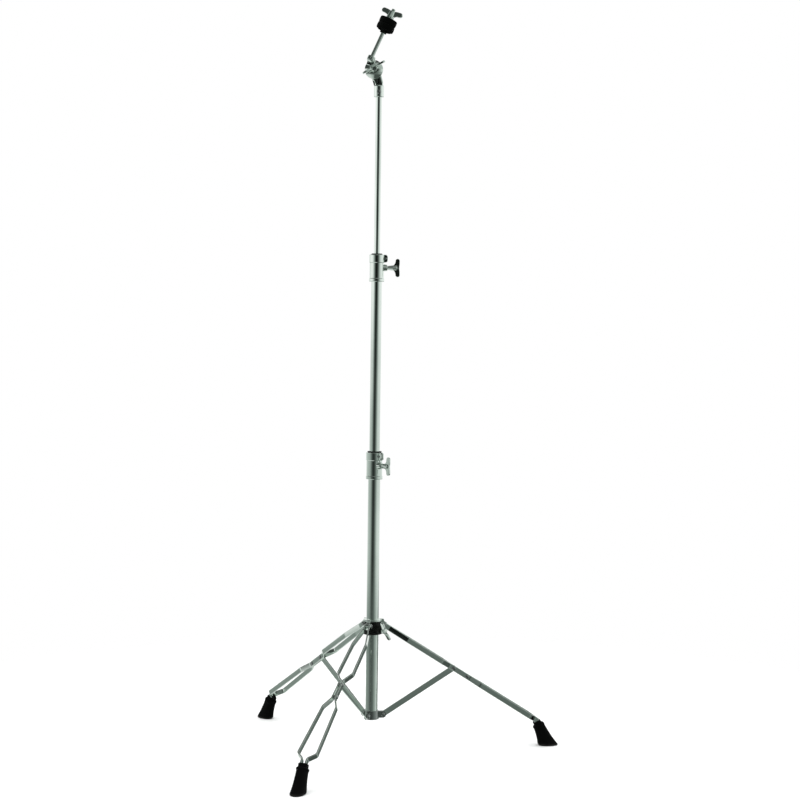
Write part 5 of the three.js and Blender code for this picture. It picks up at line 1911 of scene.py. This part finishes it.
class Sky(NodeTree):
    """A world's node tree, with the azimuth of the ray as a place from 0 to 1 and its height in degrees."""

    def __init__(self, world):
        world.use_nodes = True
        super().__init__(world.node_tree)
        self.tree.nodes.clear()
        direction = self.node("ShaderNodeSeparateXYZ")
        self.join(self.node("ShaderNodeTexCoord").outputs["Generated"], direction.inputs["Vector"])
        x, y, z = direction.outputs
        azimuth = self.maths("DEGREES", self.maths("ARCTAN2", x, self.maths("MULTIPLY", y, -1.0)))
        self.place = self.maths("ADD", self.maths("DIVIDE", azimuth, 360.0), 0.5, True)
        self.height = self.maths("DEGREES", self.maths("ARCSINE", z))

    def maths(self, operation, first, second=0.0, clamp=False):
        """A mathematical operation on outputs or numbers."""
        made = self.node("ShaderNodeMath", operation=operation, use_clamp=clamp)
        for socket, value in zip(made.inputs, (first, second)):
            if isinstance(value, float):
                socket.default_value = value
            else:
                self.join(value, socket)
        return made.outputs[0]

    def ring(self, flag):
        """Brightness over the azimuth: the flag's levels with eased steps, its darks a little green."""
        made = self.node("ShaderNodeValToRGB")
        made.color_ramp.interpolation = "EASE"
        tones = made.color_ramp.elements
        places = [azimuth / 360 + 0.5 for azimuth, _ in flag]
        tones[0].position, tones[1].position = places[0], places[-1]
        for place in places[1:-1]:
            tones.new(place)
        for tone, (_, level) in zip(tones, flag):
            green = GREEN_CAST * (1 - level)
            tone.color = (level * (1 - green), level * (1 + green), level, 1)
        self.join(self.place, made.inputs["Fac"])
        return made.outputs["Color"]

    def above(self, low, high):
        """0 below the low elevation, 1 above the high one, and a smooth step between."""
        made = self.node("ShaderNodeMapRange", interpolation_type="SMOOTHSTEP")
        self.join(self.height, made.inputs["Value"])
        made.inputs["From Min"].default_value = low
        made.inputs["From Max"].default_value = high
        return made.outputs["Result"]

    def stacked(self, edge, lower, upper):
        """The lower tone under an edge and the upper tone over it."""
        made = self.node("ShaderNodeMix", data_type="RGBA")
        self.join(self.above(*edge), made.inputs["Factor"])
        self.join(lower, made.inputs["A"])
        self.join(upper, made.inputs["B"])
        return made.outputs["Result"]


def sky_light(settings):
    """A world that is white to the camera and a studio to everything else.

    Brightness is a ramp over the azimuth of the ray. Five such rings take over from each other
    with the height of the ray: the floor itself, toward the floor, just below the eye, just above
    it, and higher up, where the dark flag hangs to the left. From high above comes the overhead
    light, which mirrors see only as a dim ceiling.
    """
    world = bpy.data.worlds.new("studio")
    bpy.context.scene.world = world
    sky = Sky(world)
    rings = sky.stacked(PAPER_EDGE, sky.ring(PAPER_FLAG), sky.ring(LOW_FLAG))
    rings = sky.stacked(FLOOR_EDGE, rings, sky.ring(LEVEL_FLAG))
    rings = sky.stacked(EYE_EDGE, rings, sky.ring(EYE_FLAG))
    rings = sky.stacked(UPPER_EDGE, rings, sky.ring(HIGH_FLAG))
    rays = sky.node("ShaderNodeLightPath")
    ceiling = sky.node("ShaderNodeMix", data_type="FLOAT")
    sky.join(rays.outputs["Is Glossy Ray"], ceiling.inputs["Factor"])
    ceiling.inputs["A"].default_value = settings.sky
    ceiling.inputs["B"].default_value = CEILING_TONE
    studio = sky.node("ShaderNodeBackground")
    sky.join(sky.stacked(CEILING_EDGE, rings, ceiling.outputs["Result"]), studio.inputs["Color"])
    backdrop = sky.node("ShaderNodeBackground")
    backdrop.inputs["Color"].default_value = WHITE
    choice = sky.node("ShaderNodeMixShader")
    sky.join(rays.outputs["Is Camera Ray"], choice.inputs[0])
    sky.join(studio.outputs[0], choice.inputs[1])
    sky.join(backdrop.outputs[0], choice.inputs[2])
    sky.join(choice.outputs[0], sky.node("ShaderNodeOutputWorld").inputs["Surface"])


FLOOR_RINGS = np.concatenate([[0.0], np.linspace(0.12, 1.0, 24)])
FLOOR_COLUMNS = 96
FLOOR_FADE = (0.45, 0.97)
FLOOR_SHADE = 0.985


def pale_floor(settings):
    """A flat disc whose cover fades out towards its rim, so that no edge shows against the white."""
    radius = (FLOOR_RINGS * settings.floor_radius)[:, None]
    turn = TURN * np.arange(FLOOR_COLUMNS) / FLOOR_COLUMNS
    grid = np.stack([radius * np.cos(turn), radius * np.sin(turn), 0 * radius * turn], axis=2)
    mesh = shell_mesh({"grid": grid, "wrap_rows": False, "wrap_columns": True, "caps": False})
    if sum(polygon.normal.z for polygon in mesh.polygons) < 0:
        mesh.flip_normals()
    floor = bpy.data.objects.new("studio_floor", mesh)
    bpy.context.scene.collection.objects.link(floor)
    recipe = Recipe("pale studio floor")
    distance = recipe.node("ShaderNodeVectorMath", operation="LENGTH")
    recipe.join(recipe.place, distance.inputs[0])
    start, end = (share * settings.floor_radius for share in FLOOR_FADE)
    tone = tuple(settings.floor_tone)
    darker = tuple(value * FLOOR_SHADE for value in tone)
    recipe.set(
        base_color=recipe.mixed(recipe.noise(scale=35.0, detail=4.0), tone, darker),
        roughness=0.75,
        specular_ior_level=0.2,
        alpha=recipe.spread(distance.outputs["Value"], low=1.0, high=0.0, start=start, end=end),
        normal=recipe.ridges(recipe.noise(scale=900.0, detail=3.0), strength=0.08, distance=0.0003),
    )
    mesh.materials.append(recipe.material)
    floor.visible_glossy = False


CAMERA_PLACE = (0.0, -3.6358, 0.8799)
CAMERA_YAW = math.radians(0.814)
CAMERA_DIP = math.radians(2.264)
CAMERA_ROLL = math.radians(0.73)
FILM_WIDTH = 36.0
FARTHEST = 50.0


def studio_camera(settings):
    """The camera where the photograph was taken from: turned right, dipped, then rolled."""
    right = np.array([math.cos(CAMERA_YAW), -math.sin(CAMERA_YAW), 0.0])
    level = np.array([math.sin(CAMERA_YAW), math.cos(CAMERA_YAW), 0.0])
    ahead = level * math.cos(CAMERA_DIP) - [0.0, 0.0, math.sin(CAMERA_DIP)]
    upward = np.cross(right, ahead)
    rolled_right = right * math.cos(CAMERA_ROLL) + upward * math.sin(CAMERA_ROLL)
    rolled_up = upward * math.cos(CAMERA_ROLL) - right * math.sin(CAMERA_ROLL)
    data = bpy.data.cameras.new("studio_camera")
    data.lens = settings.lens
    data.sensor_width = FILM_WIDTH
    data.clip_end = FARTHEST
    camera = bpy.data.objects.new("studio_camera", data)
    bpy.context.scene.collection.objects.link(camera)
    place = np.eye(4)
    place[:3, :3] = np.column_stack([rolled_right, rolled_up, -ahead])
    place[:3, 3] = MAST + CAMERA_PLACE
    camera.matrix_world = Matrix(place.tolist())
    bpy.context.scene.camera = camera


KEY_PLACE = Vector((-1.5, -1.4, 2.7))
KEY_AIM = Vector((0.0, 0.0, 0.7))
KEY_WIDTH = 1.6
KEY_DEPTH = 1.2


def key_light(settings):
    """A soft light from the upper left, aimed at the middle of the stand."""
    data = bpy.data.lights.new("soft_key", "AREA")
    data.shape = "RECTANGLE"
    data.size = KEY_WIDTH
    data.size_y = KEY_DEPTH
    data.energy = settings.key
    light = bpy.data.objects.new("soft_key", data)
    bpy.context.scene.collection.objects.link(light)
    light.rotation_mode = "QUATERNION"
    light.location = KEY_PLACE
    light.rotation_quaternion = (KEY_AIM - KEY_PLACE).to_track_quat("-Z", "Y")
    light.visible_glossy = False


class STAND_OT_studio(Operator):
    """Set the pale floor, the studio's light and the camera at the photograph's angle"""

    bl_idname = "stand.studio"
    bl_label = "Studio"

    def execute(self, context):
        settings = context.scene.stand_studio
        sky_light(settings)
        pale_floor(settings)
        key_light(settings)
        studio_camera(settings)
        context.scene.view_settings.view_transform = "Standard"
        context.scene.view_settings.look = "None"
        return {"FINISHED"}


# Sidebar and start

GROUPS = (
    ("stand_tubes", TubeSizes, "Tubes"),
    ("stand_tripod", TripodSizes, "Tripod"),
    ("stand_clamps", ClampSizes, "Clamps"),
    ("stand_tilter", TilterSizes, "Tilter and rod"),
    ("stand_finishes", StandFinishes, "Finishes"),
    ("stand_studio", StudioSettings, "Studio"),
)
STEPS = (
    STAND_OT_tubes,
    STAND_OT_linings,
    STAND_OT_lower_bracket,
    STAND_OT_braces,
    STAND_OT_leg_strips,
    STAND_OT_rivets,
    STAND_OT_boots,
    STAND_OT_collar,
    STAND_OT_clamp_sleeves,
    STAND_OT_wing_bolts,
    STAND_OT_tilter,
    STAND_OT_rod,
    STAND_OT_felts,
    STAND_OT_wing_nut,
    STAND_OT_studio,
)


class STAND_PT_sidebar(Panel):
    """Sizes, finishes and one button for each step of the stand"""

    bl_idname = "STAND_PT_sidebar"
    bl_label = "Straight cymbal stand"
    bl_space_type = "VIEW_3D"
    bl_region_type = "UI"
    bl_category = "Stand"

    def draw(self, context):
        for key, group, label in GROUPS:
            box = self.layout.box()
            box.label(text=label)
            for field in group.__annotations__:
                box.prop(getattr(context.scene, key), field)
        column = self.layout.column(align=True)
        for step in STEPS:
            column.operator(step.bl_idname)


def register():
    """Registers the sizes, the steps and the sidebar."""
    for key, group, _ in GROUPS:
        bpy.utils.register_class(group)
        setattr(bpy.types.Scene, key, PointerProperty(type=group))
    for entry in (*STEPS, STAND_PT_sidebar):
        bpy.utils.register_class(entry)


def unregister():
    """Takes away what register added, in the opposite order."""
    for entry in (STAND_PT_sidebar, *reversed(STEPS)):
        bpy.utils.unregister_class(entry)
    for key, group, _ in reversed(GROUPS):
        delattr(bpy.types.Scene, key)
        bpy.utils.unregister_class(group)


def plain(bounds):
    """A box's corners as plain numbers."""
    return [[float(value) for value in corner] for corner in bounds]


def main():
    """Runs every step in order."""
    register()
    for step in STEPS:
        family, name = step.bl_idname.split(".")
        if getattr(getattr(bpy.ops, family), name)() != {"FINISHED"}:
            raise RuntimeError(f"{step.bl_label} did not finish")
    bpy.context.view_layer.update()


if __name__ == "__main__":
    main()
